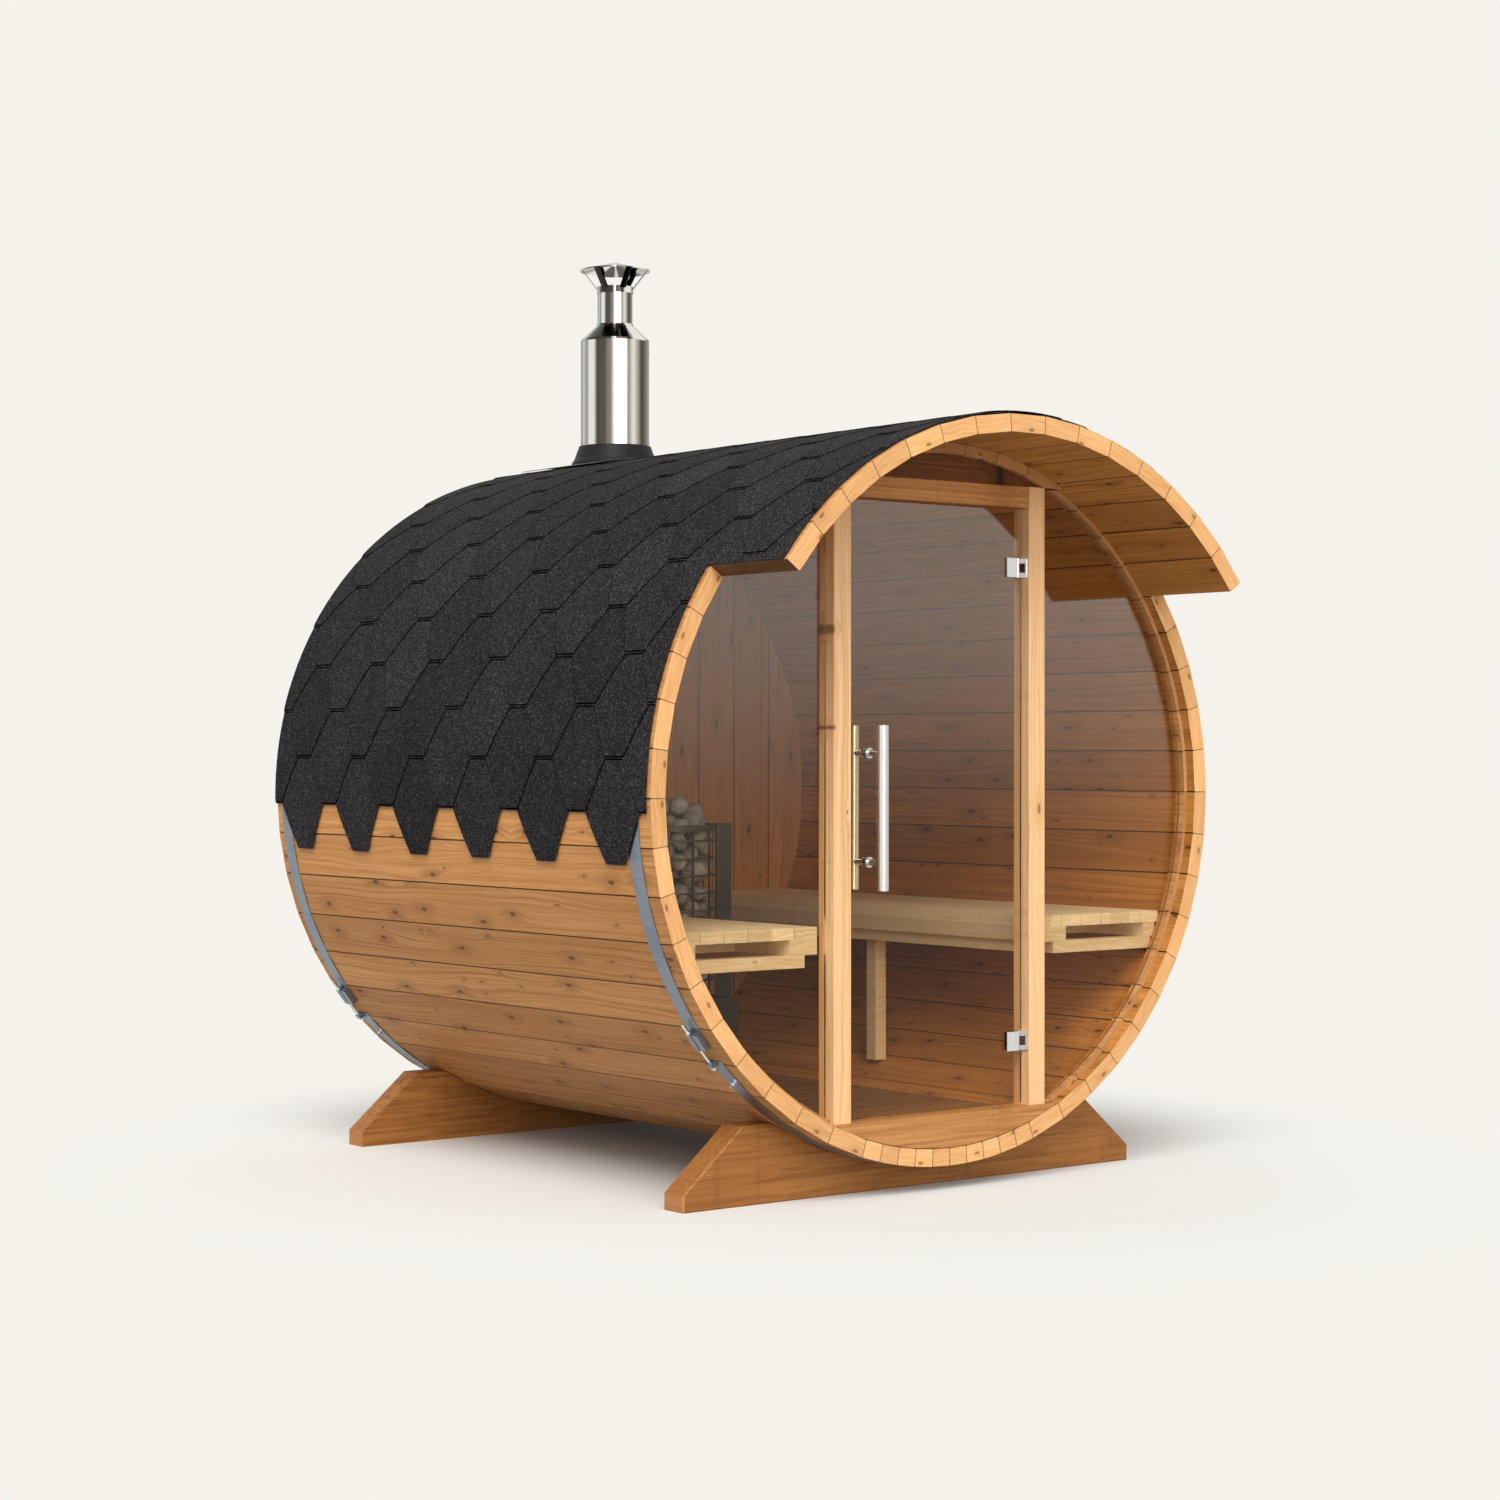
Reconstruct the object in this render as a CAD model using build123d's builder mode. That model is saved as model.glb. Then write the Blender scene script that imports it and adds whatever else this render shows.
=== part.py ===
import os
from math import asin, cos, degrees, radians, sin, sqrt

from build123d import *

# A barrel sauna lying on two cradles: staves held by two steel bands, a glass front with
# a hinged glass door, benches, a heater with stones and an insulated chimney.
# Millimetres. X to the right seen from the front, Y to the back, Z up.
# The origin is on the ground in the middle of the whole length, under the barrel's axis.
# Lengths along Y below are counted from the barrel's front rim; save() moves them.

# barrel
radius = 980.0
stave_thickness = 46.0
stave_count = 50
stave_gap = 0.5
stave_groove = 2.5
barrel_length = 1858.0
ground_gap = 66.0
canopy_reach = 301.0
canopy_from = 36.0
bottom_half_angle = 18.0
seat_gap = 0.3

inner_radius = radius - stave_thickness
stave_angle = 360.0 / stave_count
axis_height = radius + ground_gap
roof_top = axis_height + radius
# the staves are flat, so the free circle inside them is a little smaller
free_radius = inner_radius * cos(radians(stave_angle / 2))
wall_gap = 0.3
wall_radius = free_radius - wall_gap
# the origin lies this far behind the front rim
origin_y = (barrel_length - canopy_reach) / 2

# cradles
cradle_thickness = 80.0
cradle_front_y = 122.0
cradle_rear_y = barrel_length - 164.0
cradle_half_width = 788.0
cradle_end_height = 44.0
cradle_top_half_width = 600.0
cradle_top = 204.0
cradle_chamfer = 4.0

# steel bands and their tighteners
band_width = 50.0
band_thickness = 1.2
band_front_y = 50.0
band_rear_y = barrel_length - 80.0
band_gap_angle = 221.0
band_gap_half_width = 24.0
clamp_length = 52.0
clamp_width = 21.0
clamp_height = 15.0
clamp_spacing = 25.0
loop_length = 14.0
bolt_radius = 4.0
bolt_gap = 0.5
bolt_lift = 7.5
bolt_end = 34.0
nut_radius = 7.0
nut_height = 6.0
nut_gap = 1.2
stud_angle = 227.4
stud_height = 14.0

# opening in the roof for the chimney
chimney_y = barrel_length - 333.0
jacket_radius = 104.5
roof_hole_radius = jacket_radius + 4

# roof covering
cover_gap = 0.3
cover_thickness = 9.0
cover_tab_pitch = barrel_length / 6
cover_tip_angle = -9.7
cover_notch_angle = -2.2
cover_tip_flat = 0.26 * cover_tab_pitch
cover_notch_flat = 0.25 * cover_tab_pitch
cover_crown_half_angle = 36.0

# front wall
post_front_y = 12.0
post_depth = 66.0
post_width = 58.0
door_left = -329.0
door_right = 301.0
lintel_height = 57.0
# the outer corners of the posts just miss the round wall
post_far = -door_left + post_width
corner_rise = sqrt(wall_radius**2 - post_far**2)
sill_top = axis_height - corner_rise + 3.7
lintel_top = axis_height + corner_rise - 15.7
lintel_bottom = lintel_top - lintel_height
arch_bead_width = 28.0
arch_bead_depth = 18.0
bead_width = 12.0
bead_depth = 18.0
bead_back_depth = 10.0
glass_front_y = 46.0
glass_thickness = 8.0

# door
door_gap = 6.0
door_glass_y = 36.0
hinge_x = door_right - 19
hinge_y = door_glass_y + glass_thickness / 2
hinge_levels = (sill_top + 174, lintel_bottom - 162)
hinge_height = 52.0
hinge_plate_right = hinge_x - 7
hinge_plate_left = hinge_plate_right - 38
hinge_plate_thickness = 4.0
hinge_knuckle_radius = 6.0
hinge_knuckle_half = 12.0
hinge_pin_gap = 0.5
frame_plate_thickness = 2.7
frame_plate_half_depth = 22.0
handle_x = door_left + 77
handle_z = (sill_top + lintel_bottom) / 2 + 3.5
handle_length = 431.0
handle_radius = 16.0
handle_clamp_spacing = 284.0
handle_outer_reach = 58.0
handle_inner_reach = 55.0
handle_stem_radius = 9.0
handle_collar_radius = 14.0
handle_collar_length = 6.0

# back wall and floor
back_board_thickness = 45.0
back_recess = 45.0
back_board_count = 13
board_gap = 0.5
floor_top = sill_top - 12
floor_slat_thickness = 24.0
floor_slat_width = 62.0
floor_slat_gap = 8.0
floor_front_y = 84.0
joist_width = 45.0
joist_spacing = 300.0

# benches
bench_top = floor_top + 519
bench_inner = post_far + 13
bench_front_y = 68.0
slat_thickness = 31.0
slat_width = 72.0
slat_gap = 4.0
rail_width = 90.0
rail_height = 40.0
fascia_thickness = 28.0
fascia_height = 32.0
bearer_height = 32.0
bearer_width = 60.0
leg_size = 40.0
leg_y = 0.452 * barrel_length

# heater
heater_y = chimney_y - 247
basket_radius = 150.0
basket_bottom = floor_top + 238
basket_top = basket_bottom + 515
basket_bar = 5.0
basket_rib_count = 12
basket_ring_pitch = 51.5
rim_height = 18.0
stone_gap = 0.3
stone_heap_top = basket_top + 93
firebox_bottom = floor_top + 60
firebox_half_width = basket_radius + 15
firebox_back_y = chimney_y + 75
guard_post_width = 57.0
guard_post_thickness = 6.0
guard_inner_x = basket_radius + 47

# flue and chimney
flue_radius = 53.5
flue_wall = 2.0
flue_length_count = 6
boot_top_radius = jacket_radius + 7.5
boot_bottom_radius = jacket_radius + 23.5
boot_top = roof_top + 64
jacket_top = boot_top + 318
cone_top = jacket_top + 55
pipe_top = cone_top + 114
cap_radius = jacket_radius + 2.5
cap_rim = pipe_top + 48
cap_apex = cap_rim + 29
jacket_seam = 0.8
jacket_seam_drop = 33.0
strut_count = 6
strut_start_angle = 20.0
strut_width = 20.0
strut_thickness = 2.0
apron_thickness = 1.5
apron_half_width = 205.0

os.makedirs("parts", exist_ok=True)


def save(item, label):
    """Write one piece, moved so that the origin is in the middle of the whole length."""
    piece = item.part.moved(Location((0, -origin_y, 0)))
    piece.label = label
    export_step(piece, f"parts/{label}.step")


def axis_plane(y):
    """Plane across the barrel with its centre on the barrel's axis; it faces the front."""
    return Plane(origin=(0, y, axis_height), x_dir=(1, 0, 0), z_dir=(0, -1, 0))


def ground_plane(y):
    """Plane across the barrel with its centre on the ground; it faces the front."""
    return Plane(origin=(0, y, 0), x_dir=(1, 0, 0), z_dir=(0, -1, 0))


def inner_x(z, r=inner_radius):
    """Half width of the barrel inside a circle of radius r at height z."""
    return sqrt(r * r - (z - axis_height) ** 2)


def inner_z(x, r=inner_radius):
    """Height of the floor of a circle of radius r at distance x from the middle."""
    return axis_height - sqrt(r * r - x * x)


# STAVES
# Each stave is one straight board with bevelled sides and grooved corners.

def stave_sketch(first, last, pitch):
    half = pitch / 2
    count = round((last - first) / pitch)
    outer = 2 * radius * sin(radians(half)) - stave_gap
    inner = 2 * inner_radius * sin(radians(half)) - stave_gap
    bevel = stave_groove * sin(radians(half))
    middle = (radius + inner_radius) / 2 * cos(radians(half))
    depth = stave_thickness * cos(radians(half)) / 2
    profile = [
        (-depth, -inner / 2 + stave_groove),
        (-depth + stave_groove, -inner / 2 - bevel),
        (depth - stave_groove, -outer / 2 + bevel),
        (depth, -outer / 2 + stave_groove),
        (depth, outer / 2 - stave_groove),
        (depth - stave_groove, outer / 2 - bevel),
        (-depth + stave_groove, inner / 2 + bevel),
        (-depth, inner / 2 - stave_groove),
    ]
    with PolarLocations(middle, count, first + half, last - first):
        Polygon(*profile, align=None)


lower_right = 360 - 90 + bottom_half_angle
lower_left = 270 - bottom_half_angle

with BuildPart() as staves_roof_right:
    with BuildSketch(axis_plane(barrel_length)):
        stave_sketch(canopy_from, 2 * canopy_from, stave_angle)
    extrude(amount=barrel_length + canopy_reach)
save(staves_roof_right, "staves_roof_right")

with BuildPart() as staves_roof_crown:
    with BuildSketch(axis_plane(barrel_length)):
        stave_sketch(2 * canopy_from, 180 - 2 * canopy_from, stave_angle)
    extrude(amount=barrel_length + canopy_reach)
    # hole for the chimney
    with BuildSketch(Plane.XY.offset(axis_height)):
        with Locations((0, chimney_y)):
            Circle(roof_hole_radius)
    extrude(amount=radius + 100, mode=Mode.SUBTRACT)
save(staves_roof_crown, "staves_roof_crown")

with BuildPart() as staves_roof_left:
    with BuildSketch(axis_plane(barrel_length)):
        stave_sketch(180 - 2 * canopy_from, 180 - canopy_from, stave_angle)
    extrude(amount=barrel_length + canopy_reach)
save(staves_roof_left, "staves_roof_left")

with BuildPart() as staves_left:
    with BuildSketch(axis_plane(barrel_length)):
        stave_sketch(180 - canopy_from, lower_left, stave_angle)
    extrude(amount=barrel_length)
save(staves_left, "staves_left")

with BuildPart() as staves_right:
    with BuildSketch(axis_plane(barrel_length)):
        stave_sketch(lower_right, 360 + canopy_from, stave_angle)
    extrude(amount=barrel_length)
save(staves_right, "staves_right")

# the lowest staves are half as wide
with BuildPart() as staves_bottom:
    with BuildSketch(axis_plane(barrel_length)):
        stave_sketch(lower_left, lower_right, stave_angle / 2)
    extrude(amount=barrel_length)
save(staves_bottom, "staves_bottom")


# CRADLES
# Two beams with a round seat for the barrel.

def cradle_profile():
    Polygon(
        (-cradle_half_width, 0),
        (cradle_half_width, 0),
        (cradle_half_width, cradle_end_height),
        (cradle_top_half_width, cradle_top),
        (-cradle_top_half_width, cradle_top),
        (-cradle_half_width, cradle_end_height),
        align=None,
    )
    with Locations((0, axis_height)):
        Circle(radius + seat_gap, mode=Mode.SUBTRACT)


with BuildPart() as cradle_front:
    with BuildSketch(ground_plane(cradle_front_y + cradle_thickness)):
        cradle_profile()
    extrude(amount=cradle_thickness)
    chamfer(cradle_front.faces().group_by(Axis.Y)[0].edges().filter_by(GeomType.LINE), cradle_chamfer)
save(cradle_front, "cradle_front")

with BuildPart() as cradle_rear:
    with BuildSketch(ground_plane(cradle_rear_y + cradle_thickness)):
        cradle_profile()
    extrude(amount=cradle_thickness)
    chamfer(cradle_rear.faces().group_by(Axis.Y)[-1].edges().filter_by(GeomType.LINE), cradle_chamfer)
save(cradle_rear, "cradle_rear")


# BANDS
# A flat steel hoop, open at the lower left. Two clamp blocks on its upper end and a loop
# on its lower end are drawn together by a bolt, and a stud stands further down.

band_inner = radius + seat_gap
band_outer = band_inner + band_thickness
clamp_angle = band_gap_angle - degrees((band_gap_half_width + clamp_length / 2) / band_outer)
loop_angle = band_gap_angle + degrees((band_gap_half_width + loop_length / 2) / band_outer)
bolt_top = band_gap_half_width + clamp_length + bolt_end
bolt_foot = band_gap_half_width + loop_length + nut_gap + nut_height + 4


def band_profile():
    Circle(band_outer)
    Circle(band_inner, mode=Mode.SUBTRACT)
    with PolarLocations(radius, 1, band_gap_angle):
        Rectangle(60, 2 * band_gap_half_width, mode=Mode.SUBTRACT)


def band_plane(y, angle):
    """Plane lying on a band at an angle; its x runs to the back and it faces outwards."""
    a = radians(angle)
    return Plane(
        origin=(band_outer * cos(a), y + band_width / 2, axis_height + band_outer * sin(a)),
        x_dir=(0, 1, 0),
        z_dir=(cos(a), 0, sin(a)),
    )


def bolt_plane(y):
    """Plane across the bolt, in the middle of the gap in a band; it faces down along the bolt."""
    r = band_outer + bolt_lift
    a = radians(band_gap_angle)
    return Plane(
        origin=(r * cos(a), y + (band_width + clamp_spacing) / 2, axis_height + r * sin(a)),
        x_dir=(0, 1, 0),
        z_dir=(-sin(a), 0, cos(a)),
    )


def clamp_blocks(y):
    sunk = band_thickness / 2
    with Locations(band_plane(y, clamp_angle)):
        with Locations((clamp_spacing / 2, 0, -sunk), (-clamp_spacing / 2, 0, -sunk)):
            Box(clamp_width, clamp_length, clamp_height + sunk, align=(Align.CENTER, Align.CENTER, Align.MIN))
    with Locations(band_plane(y, loop_angle)):
        with Locations((clamp_spacing / 2, 0, -sunk)):
            Box(clamp_width, loop_length, clamp_height + sunk, align=(Align.CENTER, Align.CENTER, Align.MIN))


with BuildPart() as band_front:
    with BuildSketch(axis_plane(band_front_y + band_width)):
        band_profile()
    extrude(amount=band_width)
    clamp_blocks(band_front_y)
    with BuildSketch(bolt_plane(band_front_y)):
        Circle(bolt_radius + bolt_gap)
    extrude(amount=bolt_top, both=True, mode=Mode.SUBTRACT)
save(band_front, "band_front")

with BuildPart() as band_rear:
    with BuildSketch(axis_plane(band_rear_y + band_width)):
        band_profile()
    extrude(amount=band_width)
    clamp_blocks(band_rear_y)
    with BuildSketch(bolt_plane(band_rear_y)):
        Circle(bolt_radius + bolt_gap)
    extrude(amount=bolt_top, both=True, mode=Mode.SUBTRACT)
save(band_rear, "band_rear")

nut_starts = (
    (-band_gap_half_width - clamp_length - nut_gap, -nut_height),
    (band_gap_half_width + loop_length + nut_gap, nut_height),
)

with BuildPart() as band_bolts:
    for y in (band_front_y, band_rear_y):
        with BuildSketch(bolt_plane(y).offset(-bolt_top)):
            Circle(bolt_radius)
        extrude(amount=bolt_top + bolt_foot)
        for start, height in nut_starts:
            with BuildSketch(bolt_plane(y).offset(start)):
                RegularPolygon(nut_radius, 6)
            extrude(amount=height)
        # stud with its nut
        with BuildSketch(band_plane(y, stud_angle).offset(seat_gap)):
            RegularPolygon(nut_radius, 6)
        extrude(amount=nut_height)
        with BuildSketch(band_plane(y, stud_angle).offset(seat_gap)):
            Circle(bolt_radius)
        extrude(amount=stud_height)
save(band_bolts, "band_bolts")


# ROOF COVERING
# A thin skin over the upper half, with a toothed lower edge on each side.

cover_inner = band_outer + cover_gap
cover_outer = cover_inner + cover_thickness


def cover_sketch(first, last):
    """Ring sector between two angles."""
    reach = 2 * cover_outer
    corners = [(reach * cos(radians(a)), reach * sin(radians(a))) for a in (first, (first + last) / 2, last)]
    Circle(cover_outer)
    Circle(cover_inner, mode=Mode.SUBTRACT)
    Polygon((0, 0), *corners, align=None, mode=Mode.INTERSECT)


def notch_sketch():
    """Notches between the teeth of the lower edge."""
    tip_z = axis_height + cover_outer * sin(radians(cover_tip_angle)) - 1
    notch_z = axis_height + cover_outer * sin(radians(cover_notch_angle))
    half_low = (cover_tab_pitch - cover_tip_flat) / 2
    half_high = cover_notch_flat / 2
    for index in range(7):
        middle = index * cover_tab_pitch
        Polygon(
            (middle - half_low, tip_z),
            (middle + half_low, tip_z),
            (middle + half_high, notch_z),
            (middle - half_high, notch_z),
            align=None,
        )


cover_split = 90 - cover_crown_half_angle

with BuildPart() as cover_right:
    with BuildSketch(axis_plane(barrel_length)):
        cover_sketch(cover_tip_angle, cover_split)
    extrude(amount=barrel_length)
    # the part over the canopy
    with BuildSketch(axis_plane(0)):
        cover_sketch(canopy_from, cover_split)
    extrude(amount=canopy_reach)
    with BuildSketch(Plane.YZ.offset(cover_outer)):
        notch_sketch()
    extrude(amount=-radius / 2, mode=Mode.SUBTRACT)
save(cover_right, "cover_right")

with BuildPart() as cover_left:
    with BuildSketch(axis_plane(barrel_length)):
        cover_sketch(180 - cover_split, 180 - cover_tip_angle)
    extrude(amount=barrel_length)
    # the part over the canopy
    with BuildSketch(axis_plane(0)):
        cover_sketch(180 - cover_split, 180 - canopy_from)
    extrude(amount=canopy_reach)
    with BuildSketch(Plane.YZ.offset(-cover_outer)):
        notch_sketch()
    extrude(amount=radius / 2, mode=Mode.SUBTRACT)
save(cover_left, "cover_left")

with BuildPart() as cover_crown:
    with BuildSketch(axis_plane(barrel_length)):
        cover_sketch(cover_split + 0.05, 180 - cover_split - 0.05)
    extrude(amount=barrel_length + canopy_reach)
    # hole for the chimney
    with BuildSketch(Plane.XY.offset(axis_height)):
        with Locations((0, chimney_y)):
            Circle(roof_hole_radius)
    extrude(amount=radius + 100, mode=Mode.SUBTRACT)
save(cover_crown, "cover_crown")

# FRONT WALL

post_left_x = door_left - post_width
post_right_x = door_right + post_width
post_back_y = post_front_y + post_depth

with BuildPart() as sill:
    with BuildSketch(axis_plane(post_back_y)):
        Circle(wall_radius)
        with Locations((0, sill_top - axis_height)):
            Rectangle(2 * radius, 2 * radius, align=(Align.CENTER, Align.MIN), mode=Mode.SUBTRACT)
        with Locations((post_left_x, 0)):
            Rectangle(radius, 2 * radius, align=(Align.MAX, Align.CENTER), mode=Mode.SUBTRACT)
    extrude(amount=post_back_y - 2)
save(sill, "sill")

with BuildPart() as post_left:
    with BuildSketch(ground_plane(post_back_y)):
        with Locations((post_left_x, sill_top + seat_gap)):
            Rectangle(post_width, lintel_top - sill_top - seat_gap, align=(Align.MIN, Align.MIN))
    extrude(amount=post_depth)
    chamfer(post_left.edges().filter_by(Axis.Z), 2)
save(post_left, "post_left")

with BuildPart() as post_right:
    with BuildSketch(ground_plane(post_back_y)):
        with Locations((door_right, sill_top + seat_gap)):
            Rectangle(post_width, lintel_top - sill_top - seat_gap, align=(Align.MIN, Align.MIN))
    extrude(amount=post_depth)
    chamfer(post_right.edges().filter_by(Axis.Z), 2)
save(post_right, "post_right")

with BuildPart() as lintel:
    with BuildSketch(ground_plane(post_back_y)):
        with Locations((door_left + seat_gap, lintel_bottom)):
            Rectangle(door_right - door_left - 2 * seat_gap, lintel_height, align=(Align.MIN, Align.MIN))
    extrude(amount=post_depth)
    chamfer(lintel.edges().filter_by(Axis.X), 2)
save(lintel, "lintel")

gable_front_y = post_front_y + 8

with BuildPart() as gable_board:
    with BuildSketch(axis_plane(post_back_y - 8)):
        Circle(wall_radius)
        with Locations((0, lintel_top + seat_gap - axis_height)):
            Rectangle(2 * radius, 2 * radius, align=(Align.CENTER, Align.MAX), mode=Mode.SUBTRACT)
    extrude(amount=post_depth - 16)
save(gable_board, "gable_board")


# GLASS SIDE PANES
# Each pane is a slice of a disc, held at its curved edge by two thin beads.

def pane_sketch(side, near, r):
    """Part of the disc of radius r that lies further out than the distance near."""
    Circle(r)
    if side > 0:
        with Locations((near, 0)):
            Rectangle(2 * r, 4 * r, align=(Align.MAX, Align.CENTER), mode=Mode.SUBTRACT)
    else:
        with Locations((-near, 0)):
            Rectangle(2 * r, 4 * r, align=(Align.MIN, Align.CENTER), mode=Mode.SUBTRACT)
    # above the sill and below the gable board
    with Locations((0, sill_top + 2 - axis_height)):
        Rectangle(4 * r, r, align=(Align.CENTER, Align.MAX), mode=Mode.SUBTRACT)
    with Locations((0, lintel_top - 2 - axis_height)):
        Rectangle(4 * r, r, align=(Align.CENTER, Align.MIN), mode=Mode.SUBTRACT)


with BuildPart() as glass_right:
    with BuildSketch(axis_plane(glass_front_y + glass_thickness)):
        pane_sketch(1, post_right_x + seat_gap, wall_radius)
    extrude(amount=glass_thickness)
save(glass_right, "glass_right")

with BuildPart() as glass_left:
    with BuildSketch(axis_plane(glass_front_y + glass_thickness)):
        pane_sketch(-1, -post_left_x + seat_gap, wall_radius)
    extrude(amount=glass_thickness)
save(glass_left, "glass_left")


bead_planes = (
    (axis_plane(glass_front_y - seat_gap), bead_depth),
    (axis_plane(glass_front_y + glass_thickness + seat_gap + bead_back_depth), bead_back_depth),
)

with BuildPart() as front_beads:
    for plane, depth in bead_planes:
        for side, near in ((1, post_right_x + seat_gap), (-1, -post_left_x + seat_gap)):
            with BuildSketch(plane):
                pane_sketch(side, near, wall_radius)
                Circle(wall_radius - bead_width, mode=Mode.SUBTRACT)
            extrude(amount=depth)
    # wider bead along the arch, in front of the gable board
    with BuildSketch(axis_plane(gable_front_y - seat_gap)):
        Circle(wall_radius)
        Circle(wall_radius - arch_bead_width, mode=Mode.SUBTRACT)
        with Locations((0, lintel_top + seat_gap - axis_height)):
            Rectangle(2 * radius, 2 * radius, align=(Align.CENTER, Align.MAX), mode=Mode.SUBTRACT)
    extrude(amount=arch_bead_depth)
save(front_beads, "front_beads")

# BACK WALL

back_front_y = barrel_length - back_recess - back_board_thickness
board_pitch = 2 * wall_radius / back_board_count

with BuildPart() as back_wall:
    with BuildSketch(axis_plane(back_front_y + back_board_thickness)):
        with GridLocations(board_pitch, 1, back_board_count, 1):
            Rectangle(board_pitch - board_gap, 3 * radius)
        Circle(wall_radius, mode=Mode.INTERSECT)
    extrude(amount=back_board_thickness)
save(back_wall, "back_wall")

# FLOOR

floor_half = inner_x(floor_top - floor_slat_thickness, wall_radius)
slat_pitch = floor_slat_width + floor_slat_gap
floor_back_y = back_front_y - 4
floor_slat_count = int((floor_back_y - floor_front_y) / slat_pitch)

with BuildPart() as floor_slats:
    with Locations((0, (floor_front_y + floor_back_y) / 2, floor_top)):
        with GridLocations(1, slat_pitch, 1, floor_slat_count):
            Box(2 * floor_half, floor_slat_width, floor_slat_thickness,
                align=(Align.CENTER, Align.CENTER, Align.MAX))
save(floor_slats, "floor_slats")

joist_top = floor_top - floor_slat_thickness - seat_gap

with BuildPart() as floor_joists:
    with BuildSketch(axis_plane(floor_back_y)):
        with Locations((-joist_spacing / 2, joist_top - axis_height), (joist_spacing / 2, joist_top - axis_height)):
            Rectangle(joist_width, 200, align=(Align.CENTER, Align.MAX))
        Circle(inner_radius * cos(radians(stave_angle / 4)) - seat_gap, mode=Mode.INTERSECT)
    extrude(amount=floor_back_y - floor_front_y)
save(floor_joists, "floor_joists")


# BENCHES
# Lengthwise slats on cross bearers, with a rail and a fascia along the open edge.

bench_back_y = back_front_y - 4
bench_length = bench_back_y - bench_front_y
bench_width = inner_x(bench_top - slat_thickness, wall_radius) - bench_inner
slat_count = int((bench_width + slat_gap) / (slat_width + slat_gap))
rail_top = bench_top - slat_thickness - seat_gap
rail_bottom = rail_top - rail_height
bearer_top = rail_bottom - seat_gap
batten_ys = (bench_front_y + 260, leg_y, bench_back_y - 200)
bearer_ys = (bench_front_y, leg_y - bearer_width / 2, bench_back_y - bearer_width)


def bench_slats(side):
    for index in range(slat_count):
        near = bench_inner + index * (slat_width + slat_gap)
        far = near + slat_width
        with Locations((side * (near + far) / 2, bench_front_y + bench_length / 2, bench_top)):
            Box(far - near, bench_length, slat_thickness, align=(Align.CENTER, Align.CENTER, Align.MAX))


def bench_rails(side):
    middle_y = bench_front_y + bench_length / 2
    with Locations((side * (bench_inner + rail_width / 2), middle_y, rail_top)):
        Box(rail_width, bench_length, rail_height, align=(Align.CENTER, Align.CENTER, Align.MAX))
    with Locations((side * (bench_inner + fascia_thickness / 2 + 12), middle_y, bearer_top)):
        Box(fascia_thickness, bench_length - 2 * bearer_width, fascia_height,
            align=(Align.CENTER, Align.CENTER, Align.MAX))
    # wall rail under the outer slats
    outer = inner_x(rail_bottom, wall_radius)
    with Locations((side * (outer - joist_width / 2), middle_y, rail_top)):
        Box(joist_width, bench_length, rail_height, align=(Align.CENTER, Align.CENTER, Align.MAX))
    # battens across the gap between the two rails, set back from the open end
    near = bench_inner + rail_width + seat_gap
    far = outer - joist_width - seat_gap
    for y in batten_ys:
        with Locations((side * (near + far) / 2, y, rail_top)):
            Box(far - near, bearer_width, rail_height, align=(Align.CENTER, Align.CENTER, Align.MAX))


def bench_bearers(side):
    near = bench_inner + 12 + fascia_thickness + 1
    far = inner_x(bearer_top - bearer_height, wall_radius)
    for start in bearer_ys:
        with Locations((side * (near + far) / 2, start + bearer_width / 2, bearer_top)):
            Box(far - near, bearer_width, bearer_height, align=(Align.CENTER, Align.CENTER, Align.MAX))
    leg_x = side * (near + leg_size / 2)
    leg_top = bearer_top - bearer_height - seat_gap
    leg_foot = inner_z(abs(leg_x) + leg_size / 2, wall_radius)
    with Locations((leg_x, leg_y, leg_foot)):
        Box(leg_size, leg_size, leg_top - leg_foot, align=(Align.CENTER, Align.CENTER, Align.MIN))


with BuildPart() as bench_left_slats:
    bench_slats(-1)
save(bench_left_slats, "bench_left_slats")

with BuildPart() as bench_right_slats:
    bench_slats(1)
save(bench_right_slats, "bench_right_slats")

with BuildPart() as bench_left_frame:
    bench_rails(-1)
    bench_bearers(-1)
save(bench_left_frame, "bench_left_frame")

with BuildPart() as bench_right_frame:
    bench_rails(1)
    bench_bearers(1)
save(bench_right_frame, "bench_right_frame")

# HEATER

firebox_front_y = heater_y - basket_radius - 10

with BuildPart() as heater_firebox:
    with Locations((0, (firebox_front_y + firebox_back_y) / 2, firebox_bottom)):
        Box(2 * firebox_half_width, firebox_back_y - firebox_front_y, basket_bottom - firebox_bottom,
            align=(Align.CENTER, Align.CENTER, Align.MIN))
    chamfer(heater_firebox.edges().filter_by(Axis.Z), 8)
    # four feet on the floor
    with Locations((0, (firebox_front_y + firebox_back_y) / 2, floor_top + seat_gap)):
        with GridLocations(2 * firebox_half_width - 60, firebox_back_y - firebox_front_y - 60, 2, 2):
            Cylinder(14, firebox_bottom - floor_top, align=(Align.CENTER, Align.CENTER, Align.MIN))
save(heater_firebox, "heater_firebox")

ring_count = int((basket_top - basket_bottom - rim_height) / basket_ring_pitch)

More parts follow.
